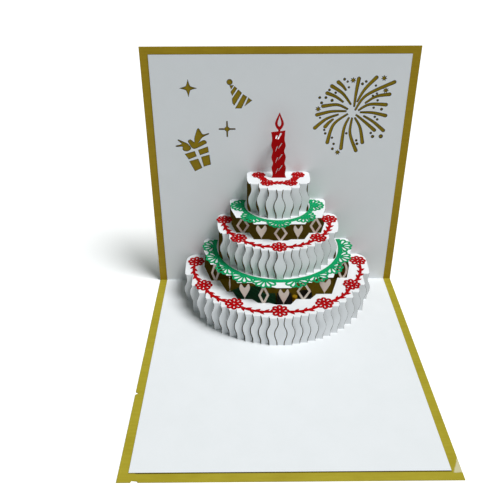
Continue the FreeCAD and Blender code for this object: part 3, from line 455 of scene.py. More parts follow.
class Sheet:
    """Mesh of cut and folded paper, gathered piece by piece."""

    def __init__(self):
        self.points = []
        self.faces = []
        self.cut_faces = []

    def flat(self, outlines, openings, near, far, place, shade_rims=()):
        """Flat paper inside any outline and outside every opening, between two levels.

        Its near face is painted dark as shade inside the given rims.
        """
        corners = []
        rings = []
        for outline in outlines + openings + list(shade_rims):
            ring = outline if signed_area(outline) > 0 else outline[::-1]
            rings.append(list(range(len(corners), len(corners) + len(ring))))
            corners += [Vector(corner) for corner in ring]
        spots, _, triangles, _, _, owners = delaunay_2d_cdt(corners, [], rings, 1, 0.0001)
        kept = []
        in_shade_rims = []
        last_opening = len(outlines) + len(openings)
        for triangle, own in zip(triangles, owners):
            if min(own, default=len(outlines)) < len(outlines):
                if not any(len(outlines) <= owner < last_opening for owner in own):
                    kept.append(triangle)
                    in_shade_rims.append(max(own) >= last_opening)
        edges = {(t[i], t[(i + 1) % 3]) for t in kept for i in range(3)}
        first = len(self.points)
        count = len(spots)
        for level in (near, far):
            self.points += [place(spot[0], spot[1], level) for spot in spots]
        # Triangles inside a rim take the dark painted shade.
        for triangle, in_shade_rim in zip(kept, in_shade_rims):
            (self.cut_faces if in_shade_rim else self.faces).append([first + i for i in triangle])
            self.faces.append([first + count + i for i in reversed(triangle)])
        for start, end in edges:
            if (end, start) not in edges:
                self.cut_faces.append([first + end, first + start, first + count + start, first + count + end])

    def ribbon(self, rows):
        """Folded strip: a row has four outer points from left to right, then its inner right and left ones.

        The outer face is painted dark as shade between its first two and its last two points.
        """
        first = len(self.points)
        width = len(rows[0])
        for row in rows:
            self.points += row
        for i in range(len(rows) - 1):
            for k in range(width):
                a = first + width * i + k
                b = first + width * i + (k + 1) % width
                side = self.faces if k in (1, 4) else self.cut_faces
                side.append([a, b, b + width, a + width])
        last = first + width * (len(rows) - 1)
        self.faces.append([first + k for k in reversed(range(width))])
        self.faces.append([last + k for k in range(width)])

    def piece(self, name, materials, node, slot):
        """Object made of the sheet: the first material on its faces, the last on its cut edges."""
        mesh = bpy.data.meshes.new(name)
        mesh.from_pydata(self.points, [], self.faces + self.cut_faces)
        for material in materials:
            mesh.materials.append(material)
        for polygon in mesh.polygons[len(self.faces):]:
            polygon.material_index = len(materials) - 1
        work = bmesh.new()
        work.from_mesh(mesh)
        bmesh.ops.delete(work, geom=[v for v in work.verts if not v.link_faces], context="VERTS")
        bmesh.ops.recalc_face_normals(work, faces=work.faces)
        work.to_mesh(mesh)
        work.free()
        piece = bpy.data.objects.new(name, mesh)
        bpy.context.scene.collection.objects.link(piece)
        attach(piece, "root")
        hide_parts(node)
        return piece


# White sheet: strips, plates, flanges, struts and the two pages

WAVE_CURVE = rounded(WAVE, 6, closed=False)


def wave_at(part):
    for (low, start), (high, end) in zip(WAVE_CURVE, WAVE_CURVE[1:]):
        if low <= part <= high:
            return start + (end - start) * (part - low) / (high - low)
    return 0.0


def strip_edges(tier):
    return [tier["half"] + tier["pitch"] * k for k in range(tier["count"] + 1)]


def strip_depths(tier):
    front = ROUND + tier["radius"] + tier["forward"]
    depths = [front]
    for k in range(1, tier["count"] + 1):
        across = tier["half"] + tier["pitch"] * (k - 0.25)
        curve = ROUND + math.sqrt(max(tier["radius"] ** 2 - across ** 2, 4.0))
        depths.append(front if k <= tier["level"] else curve)
    return depths


def stepped_front(tier, setback):
    points = []
    before = 0.0
    for edge, depth in zip(strip_edges(tier), strip_depths(tier)):
        points += [(before, depth - setback), (edge, depth - setback)]
        before = edge
    return points


def side_line(tier, setback=0.0):
    edge = strip_edges(tier)[-1]
    depth = strip_depths(tier)[-1] - setback
    turns = [math.radians(9 * k) for k in range(1, 11)]
    return [(edge + (tier["half_width"] - edge) * math.sin(turn), ROUND + (depth - ROUND) * math.cos(turn))
            for turn in turns]


def rounded_corner(tier):
    radius = tier["corner"]
    middle = tier["half_width"] - radius
    turns = [math.radians(9 * k) for k in range(11)]
    return [(middle + radius * math.cos(turn), radius - radius * math.sin(turn)) for turn in turns]


def shelf_corner(shelf):
    """Rounded back corner of a shelf, from its side to its line on the back page."""
    turns = [math.radians(9 * k) for k in range(11)]
    return [(shelf["half"] - SHELF_CORNER * (1 - math.cos(turn)), SHELF_CORNER * (1 - math.sin(turn)))
            for turn in turns]


def shelf_edge(struts, shelf, setback=0.0):
    half = shelf["half"]
    across, forward = shelf["turn"]
    points = [(-half, -1.0), (-half, 0.0), (-across * half, forward * half)]
    for left, right, depth, _ in struts:
        points += [(left * half, depth * half - setback), (right * half, depth * half - setback)]
    return points + [(across * half, forward * half), (half, 0.0), (half, -1.0)]


def strip_rows(edges, depth, top, foot, slides, lean, bow):
    """Rows of one strip from the fold at the plate's edge down to its foot."""
    path = []
    for step in range(FOLD_STEPS + 1):
        turn = math.pi / 2 * step / FOLD_STEPS
        path.append((depth - FOLD + FOLD * math.sin(turn), top - FOLD + FOLD * math.cos(turn),
                     math.sin(turn), math.cos(turn), 0.0))
    fall = top - FOLD - foot
    for step in range(1, STRIP_STEPS + 1):
        part = step / STRIP_STEPS
        swell = math.sin(math.pi * part)
        path.append((depth + bow * swell, top - FOLD - fall * part, 1.0, 0.0, swell))
    rows = []
    for forward, height, out, up, swell in path:
        taper = min(1.0, (top - height) / TAPER, max(height - foot, 0.0) / TAPER)
        outer = []
        for x, slide, side in ((edges[0] + KERF / 2, slides[0], -1), (edges[1] - KERF / 2, slides[1], 1)):
            if slide is None:
                x = -(edges[1] - KERF / 2)
                swing = -wave_at((top - height + slides[1]) / (top - foot))
            else:
                swing = wave_at((top - height + slide) / (top - foot))
            outer.append((x + WAVE_BULGE * swing * taper, forward + lean * swell * side, height))
        inner = [(x, y - PAGE * out, z - PAGE * up) for x, y, z in reversed(outer)]
        rims = []
        for (x, y, z), inwards in zip(outer, (STRIP_RIM, -STRIP_RIM)):
            rims.append((x + inwards, y, z))
        rows.append([outer[0]] + rims + [outer[1]] + inner)
    return rows


def add_strips(sheet, tier, foot, luck):
    """All strips of a tier with slight leans and bows, as cut card has."""
    edges = strip_edges(tier)
    depths = strip_depths(tier)
    steps = [near - far for near, far in zip(depths, depths[1:])] + [0.0]
    for k in range(tier["count"] + 1):
        if k == 0:
            rows = strip_rows((0.0, edges[0]), depths[0], tier["top"], foot, (None, steps[0] / 2), 0.0, 0.1)
            sheet.ribbon([[in_plan(x, y, z) for x, y, z in row] for row in rows])
            continue
        for flip in (1, -1):
            lean = luck.uniform(-0.14, 0.14)
            bow = luck.uniform(-0.12, 0.3)
            rows = strip_rows((edges[k - 1], edges[k]), depths[k], tier["top"], foot,
                              (-steps[k - 1] / 2, steps[k] / 2), lean, bow)
            sheet.ribbon([[in_plan(flip * x, y, z) for x, y, z in row] for row in rows])


def strut_loop(pattern, half, tall):
    """Closed centre line of a strut that reaches both plates."""
    if pattern == "lozenge":
        loop = [(0, 0), (half, 0.5), (0, 1), (-half, 0.5)]
        return [(x, part * tall) for x, part in loop]
    if pattern == "leaf":
        right = [(half * math.sin(math.pi * k / 16) ** 0.8, k / 16) for k in range(17)]
        loop = right + [(-x, part) for x, part in reversed(right[1:-1])]
        return [(x, part * tall) for x, part in loop]
    right = rounded([(0, 0), (0.55 * half, 0.32), (half, 0.66), (0.86 * half, 0.93), (0.42 * half, 0.98),
                     (0, 0.76)], 6, closed=False)
    loop = right + [(-x, part) for x, part in reversed(right[1:-1])]
    return [(x, part * tall) for x, part in loop]


def add_struts(sheet, struts, shelf, foot):
    top = shelf["top"] - LAP
    for left_part, right_part, depth_part, pattern in struts:
        left = left_part * shelf["half"]
        right = right_part * shelf["half"]
        depth = depth_part * shelf["half"]
        half = (right - left - STRUT_STROKE) / 2
        loop = [((left + right) / 2 + x, foot + z) for x, z in strut_loop(pattern, half, top - foot)]
        if pattern == "lozenge":
            rise = (top - foot) / 2
            slant = STRUT_STROKE / 2 * math.hypot(half, rise)
            middle = (left + right) / 2
            centre = (foot + top) / 2
            outer, inner = (
                [(middle, centre - rise - side * slant / half), (middle + half + side * slant / rise, centre),
                 (middle, centre + rise + side * slant / half), (middle - half - side * slant / rise, centre)]
                for side in (1, -1)
            )
        else:
            sides = offset_line(loop, STRUT_STROKE / 2, closed=True)
            outer, inner = sorted(sides, key=lambda ring: -abs(signed_area(ring)))
        above = [(left - 5, top), (right + 5, top), (right + 5, top + 9), (left - 5, top + 9)]
        below = [(left - 5, foot - 9), (right + 5, foot - 9), (right + 5, foot), (left - 5, foot)]
        sheet.flat([outer], [inner, above, below], depth, depth - PAGE, upright)


def cake_opening():
    """Right half of the opening that the cake leaves in the back page."""
    points = [(BOTTOM["half_width"], -1.0)]
    for tier, above, shelf in ((BOTTOM, MIDDLE, LOWER_SHELF), (MIDDLE, TOP, UPPER_SHELF)):
        ceiling = tier["top"] - PAGE + OPENING_LAP
        shoulder = shelf["top"] - PAGE + OPENING_LAP
        points += [(x, ceiling - drop) for x, drop in rounded_corner(tier)]
        points.append((shelf["half"], ceiling))
        points += [(x, shoulder - drop) for x, drop in shelf_corner(shelf)]
        points.append((above["half_width"], shoulder))
    ceiling = TOP["top"] - PAGE + OPENING_LAP
    points += [(x, ceiling - drop) for x, drop in rounded_corner(TOP)]
    return points + [(CANDLE_STRUT["half"], ceiling), (CANDLE_STRUT["half"], CANDLE_STRUT["tab"] - PAGE)]


def cake_footprint():
    """Right half of the opening in the base page, with the last strip's wavy cut at its side."""
    points = stepped_front(BOTTOM, 2 * LAP)[1:]
    edge = strip_edges(BOTTOM)[-1]
    depth = strip_depths(BOTTOM)[-1]
    for k in range(25):
        part = 1 - k / 24
        along = depth - BOTTOM["top"] * (1 - part)
        if 0 < along < depth - 2 * LAP:
            points.append((edge + WAVE_BULGE * max(wave_at(part), 0.0), along))
    return points + [(edge, -1.0)]


# Pictures cut into the back page

SPARKLE = {"centre": (-50.0, 127.3), "arm": 4.8, "shoulder": 0.55, "waist": 1.05}
THIN_STAR = {"centre": (-29.2, 103.7), "arm": 4.7, "diamond": 1.75, "line": 0.3}
HAT_BALL = {"centre": (-27.3, 130.6), "radius": 1.45}
HAT_BANDS = [
    [(-27.3, 128.7), (-25.1, 128.8), (-26.6, 126.7)],
    [(-24.5, 128.2), (-23.4, 127.1), (-26.1, 123.0), (-26.7, 125.0)],
    [(-22.5, 126.3), (-20.8, 124.7), (-25.1, 117.5), (-25.8, 118.9), (-26.0, 121.1)],
    [(-19.8, 123.7), (-18.0, 122.4), (-21.1, 115.9), (-24.3, 115.7)],
    [(-17.0, 121.8), (-15.2, 120.4), (-19.2, 117.0)],
]
GIFT_PANES = [
    [(-53.9, 88.5), (-48.2, 90.2), (-47.3, 87.3), (-51.8, 85.4)],
    [(-46.1, 90.9), (-40.5, 93.0), (-40.2, 89.8), (-45.2, 88.0)],
    [(-51.5, 84.0), (-46.5, 85.5), (-44.4, 79.9), (-48.5, 77.8)],
    [(-44.5, 86.6), (-39.9, 88.0), (-39.3, 82.0), (-43.2, 80.7)],
]
GIFT_BOW = [
    [(-48.9, 92.0), (-45.2, 93.2), (-42.7, 94.5), (-41.3, 95.3), (-41.6, 96.4), (-42.7, 96.9),
     (-44.5, 96.1), (-45.8, 95.4), (-44.1, 98.2), (-42.3, 99.6), (-39.9, 100.7), (-40.0, 101.1),
     (-43.2, 100.5), (-45.5, 104.1), (-46.9, 101.2), (-47.8, 98.2), (-48.0, 95.6), (-50.2, 97.3),
     (-51.5, 96.6), (-51.2, 95.4)],
    [(-50.3, 92.2), (-52.0, 90.6), (-54.0, 90.6), (-54.9, 91.6), (-54.7, 92.8), (-55.4, 93.4),
     (-58.4, 93.2), (-58.5, 93.7), (-55.8, 94.4), (-55.4, 95.2), (-57.3, 97.0), (-56.9, 97.3),
     (-54.8, 96.2), (-52.0, 94.7)],
]
BURST_CENTRE = (40.0, 114.0)
# Rays of the burst from its centre: start, bend and end.
BURST_RAYS = [
    [(1.6, 2.4), (2.0, 10.0), (2.9, 18.2)],
    [(3.0, 5.2), (6.6, 12.2), (12.4, 18.8)],
    [(2.3, 0.4), (7.8, 8.9), (22.4, 16.2)],
    [(7.5, 4.4), (13.2, 8.2), (20.5, 9.4)],
    [(4.1, 0.3), (10.0, 3.7), (19.2, 3.5)],
    [(5.2, -0.8), (12.3, -1.1), (19.6, -2.8)],
    [(7.3, -2.9), (13.4, -6.6), (19.3, -11.6)],
    [(3.0, -2.2), (8.7, -6.7), (14.2, -11.4)],
    [(2.5, -3.9), (6.0, -9.9), (8.1, -18.8)],
    [(1.0, -4.0), (0.6, -13.4), (4.8, -23.8)],
    [(-0.7, -3.8), (-3.1, -10.4), (-3.9, -22.4)],
    [(-1.6, -1.7), (-9.2, -8.0), (-12.0, -18.7)],
    [(-9.5, -4.7), (-11.6, -6.5), (-13.8, -9.2)],
    [(-6.8, -2.0), (-13.6, -4.7), (-19.6, -9.9)],
    [(-2.5, -0.1), (-11.0, -0.3), (-18.8, -2.2)],
    [(-1.8, 1.0), (-7.8, 3.6), (-15.7, 2.8)],
    [(-4.6, 5.1), (-9.0, 8.2), (-13.8, 10.2)],
    [(-0.3, 3.7), (-5.2, 9.9), (-11.5, 14.1)],
    [(-3.6, 11.7), (-5.6, 14.2), (-8.1, 16.3)],
]
# Dots of the burst from its centre: across, up, radius.
BURST_DOTS = [
    (-4.9, 17.9, 0.6), (-3.1, 16.6, 0.45), (-2.2, 13.4, 0.45), (-12.7, 12.0, 0.55), (-9.2, 10.4, 0.5),
    (-17.8, 7.7, 0.6), (-14.4, 7.7, 0.6), (-10.9, 6.1, 0.7), (-16.6, 4.7, 0.65), (-17.0, -3.9, 0.45),
    (-14.2, -11.1, 0.5), (-13.5, -13.2, 0.55), (-9.5, -15.8, 0.5), (-8.3, -19.6, 0.55), (-8.8, -22.6, 0.65),
    (-1.5, -13.2, 0.55), (4.5, -17.5, 0.55), (5.1, -19.6, 0.65), (12.4, -13.1, 0.55), (13.6, -15.2, 0.8),
    (18.3, -15.1, 1.05), (13.7, -3.5, 0.5), (15.2, -5.0, 0.55), (12.5, 1.8, 0.5), (17.0, 0.9, 0.65),
    (14.3, 6.0, 0.5), (11.4, 8.6, 0.45), (13.5, 9.9, 0.45), (12.5, 14.3, 0.45), (5.1, 15.3, 0.6),
    (7.0, 16.6, 0.55),
]
BURST_STAR = {"arm": 1.6, "waist": 0.7, "tips": 7}
BURST_STARS = [(-0.1, 17.3), (16.6, 18.4), (18.2, 11.6), (-18.3, 1.2), (-5.7, -24.8)]


def star(centre, arm, waist, tips):
    return [around(centre, arm if i % 2 == 0 else waist, math.pi * i / tips + math.pi / 2)
            for i in range(2 * tips)]


def sparkle(centre, arm, shoulder, waist):
    """Four pointed arms that swell towards the middle."""
    quarter = [(0.0, arm), (shoulder, 0.45 * arm), (waist, waist), (0.45 * arm, shoulder)]
    outline = []
    for _ in range(4):
        outline += [(centre[0] + x, centre[1] + z) for x, z in quarter]
        quarter = [(z, -x) for x, z in quarter]
    return outline


def thin_star(centre, arm, diamond, line):
    quarter = [(line * 0.7, arm), (line, diamond - line), (diamond - line, line), (arm, line * 0.7)]
    outline = []
    for flip_x, flip_z, order in ((1, 1, 1), (1, -1, -1), (-1, -1, 1), (-1, 1, -1)):
        outline += [(centre[0] + flip_x * x, centre[1] + flip_z * z) for x, z in quarter[::order]]
    return outline


def ray(points):
    """Curved slot that widens towards its rounded outer end."""
    line = rounded(points, 7, closed=False)
    halves = [0.36 + 0.52 * k / (len(line) - 1) for k in range(len(line))]
    left, right = offset_line(line, halves)
    (xa, za), (xb, zb) = line[-2:]
    heading = math.atan2(zb - za, xb - xa)
    cap = [around((xb, zb), halves[-1], heading + math.radians(turn)) for turn in (60, 30, 0, -30, -60)]
    return [(BURST_CENTRE[0] + x, BURST_CENTRE[1] + z) for x, z in left + cap + right[::-1]]


def pictures():
    outlines = [sparkle(**SPARKLE), thin_star(**THIN_STAR)]
    outlines.append(disc(HAT_BALL["centre"], HAT_BALL["radius"]))
    outlines += HAT_BANDS + GIFT_PANES + [rounded(bow, 4) for bow in GIFT_BOW]
    outlines += [ray(points) for points in BURST_RAYS]
    for x, z in BURST_STARS:
        outlines.append(star((BURST_CENTRE[0] + x, BURST_CENTRE[1] + z), **BURST_STAR))
    return outlines


def dots(growth):
    """Round dots of the burst, each wider than its hole by a growth that may be negative."""
    return [disc((BURST_CENTRE[0] + x, BURST_CENTRE[1] + z), radius + growth, 16)
            for x, z, radius in BURST_DOTS]


def white_sheet(materials):
    """Both pages and the cake, cut and folded from one white card."""
    sheet = Sheet()
    page = [(-PAGE_HALF, 0.0), (PAGE_HALF, 0.0), (PAGE_HALF, PAGE_TOP), (-PAGE_HALF, PAGE_TOP)]
    cuts = pictures()
    # Rims of painted shade on the page's front round every cut and dot.
    shade_rims = [widened(cut, SHADE_RIM) for cut in cuts] + dots(DOT_RIM)
    sheet.flat([page], [mirrored(cake_opening())] + cuts + dots(-DOT_RIM), PAGE, 0.0, upright, shade_rims)
    base = [(-PAGE_HALF, 0.0), (PAGE_HALF, 0.0), (PAGE_HALF, PAGE_DEPTH), (-PAGE_HALF, PAGE_DEPTH)]
    sheet.flat([base], [mirrored(cake_footprint())], PAGE, 0.0, in_plan)
    for tier, struts, shelf in ((BOTTOM, LOWER_STRUTS, LOWER_SHELF), (MIDDLE, UPPER_STRUTS, UPPER_SHELF)):
        outline = mirrored(stepped_front(tier, FOLD)[1:] + side_line(tier) + rounded_corner(tier)[1:-1]
                           + [(tier["half_width"] - tier["corner"], LAP)])
        step = shelf_edge(struts, shelf, PAGE - NOTCH_LAP)
        sheet.flat([outline], [step], tier["top"], tier["top"] - PAGE, in_plan)
    outline = mirrored(stepped_front(TOP, FOLD)[1:] + side_line(TOP) + rounded_corner(TOP)[1:-1]
                       + [(TOP["half_width"] - TOP["corner"], LAP)])
    half, depth, tab = CANDLE_STRUT["half"], CANDLE_STRUT["depth"], CANDLE_STRUT["tab"]
    reach = depth - PAGE + NOTCH_LAP
    notch = [(-half, -1.0), (half, -1.0), (half, reach), (-half, reach)]
    sheet.flat([outline], [notch], TOP["top"], TOP["top"] - PAGE, in_plan)
    for tier, struts, shelf in ((MIDDLE, LOWER_STRUTS, LOWER_SHELF), (TOP, UPPER_STRUTS, UPPER_SHELF)):
        inner = mirrored(stepped_front(tier, 2 * LAP)[1:] + side_line(tier, 2 * LAP)
                         + [(tier["half_width"], -1.0)])
        outer = [(x, max(forward, LAP)) for x, forward in shelf_edge(struts, shelf, NOTCH_LAP)[2:-2]]
        corner = [(x, max(forward, LAP)) for x, forward in shelf_corner(shelf)]
        outer = outer + corner + [(-x, forward) for x, forward in reversed(corner)]
        sheet.flat([outer], [inner], shelf["top"], shelf["top"] - PAGE, in_plan)
    luck = random.Random(11)
    add_strips(sheet, BOTTOM, LAP, luck)
    add_strips(sheet, MIDDLE, LOWER_SHELF["top"] - 2 * LAP, luck)
    add_strips(sheet, TOP, UPPER_SHELF["top"] - 2 * LAP, luck)
    add_struts(sheet, LOWER_STRUTS, LOWER_SHELF, BOTTOM["top"] - PAGE + LAP)
    add_struts(sheet, UPPER_STRUTS, UPPER_SHELF, MIDDLE["top"] - PAGE + LAP)
    foot = TOP["top"] - PAGE + LAP
    strut = [(-half, foot), (half, foot), (half, tab - LAP), (-half, tab - LAP)]
    sheet.flat([strut], [], depth, depth - PAGE, upright)
    tongue = [(-half, LAP), (half, LAP), (half, depth - NOTCH_LAP), (-half, depth - NOTCH_LAP)]
    sheet.flat([tongue], [], tab, tab - PAGE, in_plan)
    return sheet.piece("white_sheet", materials, "inner_sheet", "white_card")


# Green laces. Ends, fans and leans are in degrees; a hole has its width and start as parts of a petal.

LACE_BAND = 2.6
PIERCED_STEP = 7.5
PIERCED_END = 3
PIERCED_RADIUS = 0.38
PETAL_FOOT = 0.35
LOWER_LACE = {
    "radius": 37.2, "height": LOWER_SHELF["top"], "shift": 0.3, "end": 99,
    "fans": [side * (12.8 + 18.8 * k) for side in (1, -1) for k in range(5)], "leans": (-64, -32, 0, 32, 64),
    "length": 7.4, "width": 3.9, "hole": (0.215, 0.22), "pierced": False,
}
UPPER_LACE = {
    "radius": 19.3, "height": UPPER_SHELF["top"], "shift": -0.4, "end": 106,
    "fans": (-87.0, -44.5, 0.0, 44.5, 87.0), "leans": (-78, -52, -26, 0, 26, 52, 78),
    "length": 7.1, "width": 3.2, "hole": (0.175, 0.4), "pierced": True,
}


def petal(length, width):
    """Petal with a round lobe, from its hub outwards."""
    side = []
    for k in range(1, 9):
        part = 0.66 * k / 8
        swell = math.sin(math.pi / 2 * k / 8) ** 1.1
        side.append((PETAL_FOOT + (width / 2 - PETAL_FOOT) * swell, part * length))
    for k in range(1, 8):
        turn = math.pi / 2 * k / 8
        side.append((width / 2 * math.cos(turn), (0.66 + 0.34 * math.sin(turn)) * length))
    right = [(PETAL_FOOT, 0.0)] + side
    return right + [(0.0, length)] + [(-x, out) for x, out in reversed(right)]


def petal_hole(length, width, wide, start):
    """Teardrop, pointed towards the hub and round at its outer end."""
    side = []
    for k in range(1, 7):
        side.append((wide * width * (k / 6) ** 0.85, (start + (0.66 - start) * k / 6) * length))
    for k in range(1, 6):
        turn = math.pi / 2 * k / 6
        side.append((wide * width * math.cos(turn), (0.66 + 0.21 * math.sin(turn)) * length))
    return [(0.0, start * length)] + side + [(0.0, 0.87 * length)] + [(-x, out) for x, out in reversed(side)]


def lace(name, node, radius, height, shift, end, fans, leans, length, width, hole, pierced):
    """Ring of fans of petals, from one end angle to the other."""
    angles = [-end + 2 * end * k / 90 for k in range(91)]
    outline = [polar(radius, angle, shift) for angle in angles]
    outline += [polar(radius + LACE_BAND, angle, shift) for angle in reversed(angles)]
    outlines = [outline]
    holes = []
    for fan in fans:
        hub = polar(radius + 0.55 * LACE_BAND, fan, shift)
        for lean in leans:
            outlines.append(turned(petal(length, width), hub, fan + lean))
            holes.append(turned(petal_hole(length, width, *hole), hub, fan + lean))
    if pierced:
        count = int(2 * end / PIERCED_STEP)
        for k in range(count + 1):
            angle = (end - PIERCED_END) * (2 * k / count - 1)
            holes.append(disc(polar(radius + 0.45 * LACE_BAND, angle, shift), PIERCED_RADIUS, 10))
    sheet = Sheet()
    sheet.flat(outlines, holes, height + TRIM, height, in_plan)
    return sheet.piece(name, [green], node, "green_paper")


# Red garlands. A flower has its angle in degrees and its distance as a part of the radius.

STEM_WIDTH = 1.55
BOTTOM_GARLAND = {
    "radius": 50.6, "size": 5.2, "height": BOTTOM["top"], "shift": -0.4, "bulge": 1.6,
    "flowers": [(-89, 0.98), (-59, 1.0), (-30, 1.0), (0, 1.0), (30, 1.0), (59, 1.0), (89, 1.01)],
}
MIDDLE_GARLAND = {
    "radius": 31.4, "size": 4.85, "height": MIDDLE["top"], "shift": -0.4, "bulge": 0.6,
    "flowers": [(-89.5, 1.0), (-46, 1.0), (0, 1.0), (46, 1.0), (89.5, 1.0)],
}
TOP_GARLAND = {
    "radius": 10.3, "size": 4.0, "height": TOP["top"], "shift": 0.0, "bulge": 0.0,
    "flowers": [(-103, 1.13), (-40, 1.0), (40, 1.0), (103, 1.15)],
}
# Teardrop hole of a lobe and a leaf of a stem, as parts of the flower's radius and of the stem's width.
DROP = [(0.0, 0.36), (0.06, 0.52), (0.095, 0.64), (0.065, 0.74), (0.0, 0.77), (-0.065, 0.74),
        (-0.095, 0.64), (-0.06, 0.52)]
LEAF = [(-0.6, -0.1), (1.2, -0.1), (1.3, 0.55), (1.65, 1.45), (0.7, 1.15), (0.0, 0.7)]


def flower(centre, radius):
    """Eight round lobes."""
    outline = []
    for k in range(96):
        turn = 2 * math.pi * k / 96
        outline.append(around(centre, radius * (0.76 + 0.24 * abs(math.cos(4 * turn)) ** 0.6), turn))
    return outline


def flower_holes(centre, radius):
    """A teardrop in every lobe and a hole in the middle."""
    holes = [disc(centre, 0.1 * radius, 12)]
    for k in range(8):
        turn = math.radians(45 * k)
        holes.append([(centre[0] + radius * (out * math.cos(turn) - aside * math.sin(turn)),
                       centre[1] + radius * (out * math.sin(turn) + aside * math.cos(turn)))
                      for aside, out in DROP])
    return holes


def stem(start, end, bow, width):
    """Stem between two flowers, bowed outwards, with pointed leaves on both sides in turn."""
    length = math.hypot(end[0] - start[0], end[1] - start[1])
    out_x = (end[1] - start[1]) / length
    out_y = (start[0] - end[0]) / length
    middle = ((start[0] + end[0]) / 2, (start[1] + end[1]) / 2 - ROUND)
    side = 1 if out_x * middle[0] + out_y * middle[1] > 0 else -1
    line = []
    for k in range(31):
        part = k / 30
        swell = side * bow * 4 * part * (1 - part)
        line.append((start[0] + (end[0] - start[0]) * part + out_x * swell,
                     start[1] + (end[1] - start[1]) * part + out_y * swell))
    left, right = offset_line(line, width / 2)
    outlines = [left + right[::-1]]
    for k in range(6, 24, 3):
        flip = 1 if (k // 3) % 2 == 0 else -1
        (xa, ya), (xb, yb) = line[k], line[k + 1]
        run = math.hypot(xb - xa, yb - ya)
        ux, uy = (xb - xa) / run, (yb - ya) / run
        outlines.append([(xa + width * (along * ux - flip * aside * uy),
                          ya + width * (along * uy + flip * aside * ux)) for along, aside in LEAF])
    return outlines


def garland(name, node, radius, flowers, size, height, shift, bulge):
    """Flowers on an arc, joined by stems that bulge past it."""
    centres = [polar(radius * part, angle, shift) for angle, part in flowers]
    outlines = []
    holes = []
    for centre in centres:
        outlines.append(flower(centre, size))
        holes += flower_holes(centre, size)
    for k in range(len(centres) - 1):
        half_turn = math.radians(flowers[k + 1][0] - flowers[k][0]) / 2
        bow = radius * (1 - math.cos(half_turn)) + bulge if bulge else 0.0
        outlines += stem(centres[k], centres[k + 1], bow, STEM_WIDTH)
    sheet = Sheet()
    sheet.flat(outlines, holes, height + TRIM, height, in_plan)
    return sheet.piece(name, [red], node, "red_paper")


# Candle. Its outlines are (part of the height, half width), as a part of its half width for the body.

CANDLE = {"depth": CANDLE_STRUT["depth"], "half": 4.15, "body": 28.2, "lean": -0.95, "flame": 10.8,
          "foot_middle": 0.25, "tilt": 0.5, "flame_middle": -0.15}
CANDLE_SIDE = [(0.0, 1.0), (0.08, 0.86), (0.22, 0.98), (0.32, 0.8), (0.45, 0.98), (0.58, 0.78),
               (0.7, 0.98), (0.82, 0.84), (0.93, 0.9), (1.0, 0.95)]
FLAME_SIDE = [(0.0, 0.6), (0.08, 0.65), (0.2, 1.65), (0.38, 2.4), (0.55, 2.1), (0.75, 1.2), (1.0, 0.05)]
FLAME_HOLE = [(0.25, 0.0), (0.3, 0.62), (0.42, 0.98), (0.56, 0.8), (0.72, 0.3), (0.84, 0.0)]
# Slits of one twist: a long stroke with a round end, and a short one beside it; the top twist has wider ones.
TWIST_FOOTS = [0.09, 0.33, 0.57]
TWIST_WIDTHS = (0.12, 0.36)
TOP_FOOT = 0.8
TOP_WIDTHS = (0.3, 0.55)
TILTED_FROM = 0.93
TWIST_STROKES = [
    [(-1.75, 0.0), (-1.3, 1.5), (-0.65, 3.1)],
    [(-0.15, 1.7), (0.45, 2.9), (1.75, 5.0)],
]
TOP_STROKES = [
    [(-1.35, 1.2), (-1.1, 2.0), (-0.75, 2.9)],
    [(-0.15, 0.9), (0.35, 2.0), (1.45, 4.2)],
]


def slit(points, thin, wide):
    """Stroke that widens towards its round upper end."""
    line = rounded(points, 5, closed=False)
    halves = [thin + (wide - thin) * (k / (len(line) - 1)) ** 1.5 for k in range(len(line))]
    left, right = offset_line(line, halves)
    (xa, za), (xb, zb) = line[-2:]
    heading = math.atan2(zb - za, xb - xa)
    cap = [around((xb, zb), wide, heading + math.radians(turn)) for turn in (55, 20, -20, -55)]
    return left + cap + right[::-1]


def candle():
    """Flat twisted candle with its flame, standing on the top plate."""
    foot = TOP["top"]
    body = CANDLE["body"]
    shoulder = foot + body
    middle = CANDLE["foot_middle"]
    side = rounded(CANDLE_SIDE, 5, closed=False)
    right = []
    left = []
    for part, wide in side:
        centre = middle + CANDLE["lean"] * part
        tilt = CANDLE["tilt"] * max(part - TILTED_FROM, 0.0) / (1 - TILTED_FROM)
        right.append((centre + CANDLE["half"] * wide, foot + body * part + tilt))
        left.append((centre - CANDLE["half"] * wide, foot + body * part - tilt))
    for part, wide in rounded(FLAME_SIDE, 5, closed=False):
        right.append((CANDLE["flame_middle"] + wide, shoulder + CANDLE["flame"] * part))
        left.append((CANDLE["flame_middle"] - wide, shoulder + CANDLE["flame"] * part))
    hole = [(wide, shoulder + CANDLE["flame"] * part) for part, wide in rounded(FLAME_HOLE, 4, closed=False)]
    openings = [[(CANDLE["flame_middle"] + x, z) for x, z in hole]
                + [(CANDLE["flame_middle"] - x, z) for x, z in reversed(hole[1:-1])]]
    for part in TWIST_FOOTS:
        for stroke in TWIST_STROKES:
            line = [(x + middle - part, foot + body * part + z) for x, z in stroke]
            openings.append(slit(line, *TWIST_WIDTHS))
    for stroke in TOP_STROKES:
        line = [(x + middle - 0.9, foot + body * TOP_FOOT + z) for x, z in stroke]
        openings.append(slit(line, *TOP_WIDTHS))
    sheet = Sheet()
    sheet.flat([right + left[-2::-1]], openings, CANDLE["depth"] + TRIM, CANDLE["depth"], upright)
    return sheet.piece("red_candle", [red], "candle", "red_paper")


white_sheet([looks["inner_sheet"], shaded_cut_edge()])
lace("green_lace_lower", "lower_lace", **LOWER_LACE)
lace("green_lace_upper", "upper_lace", **UPPER_LACE)
garland("red_garland_bottom", "garland_bottom", **BOTTOM_GARLAND)
garland("red_garland_middle", "garland_middle", **MIDDLE_GARLAND)
garland("red_garland_top", "garland_top", **TOP_GARLAND)
candle()


# Stage: white floor, pale sky and one soft sun from above

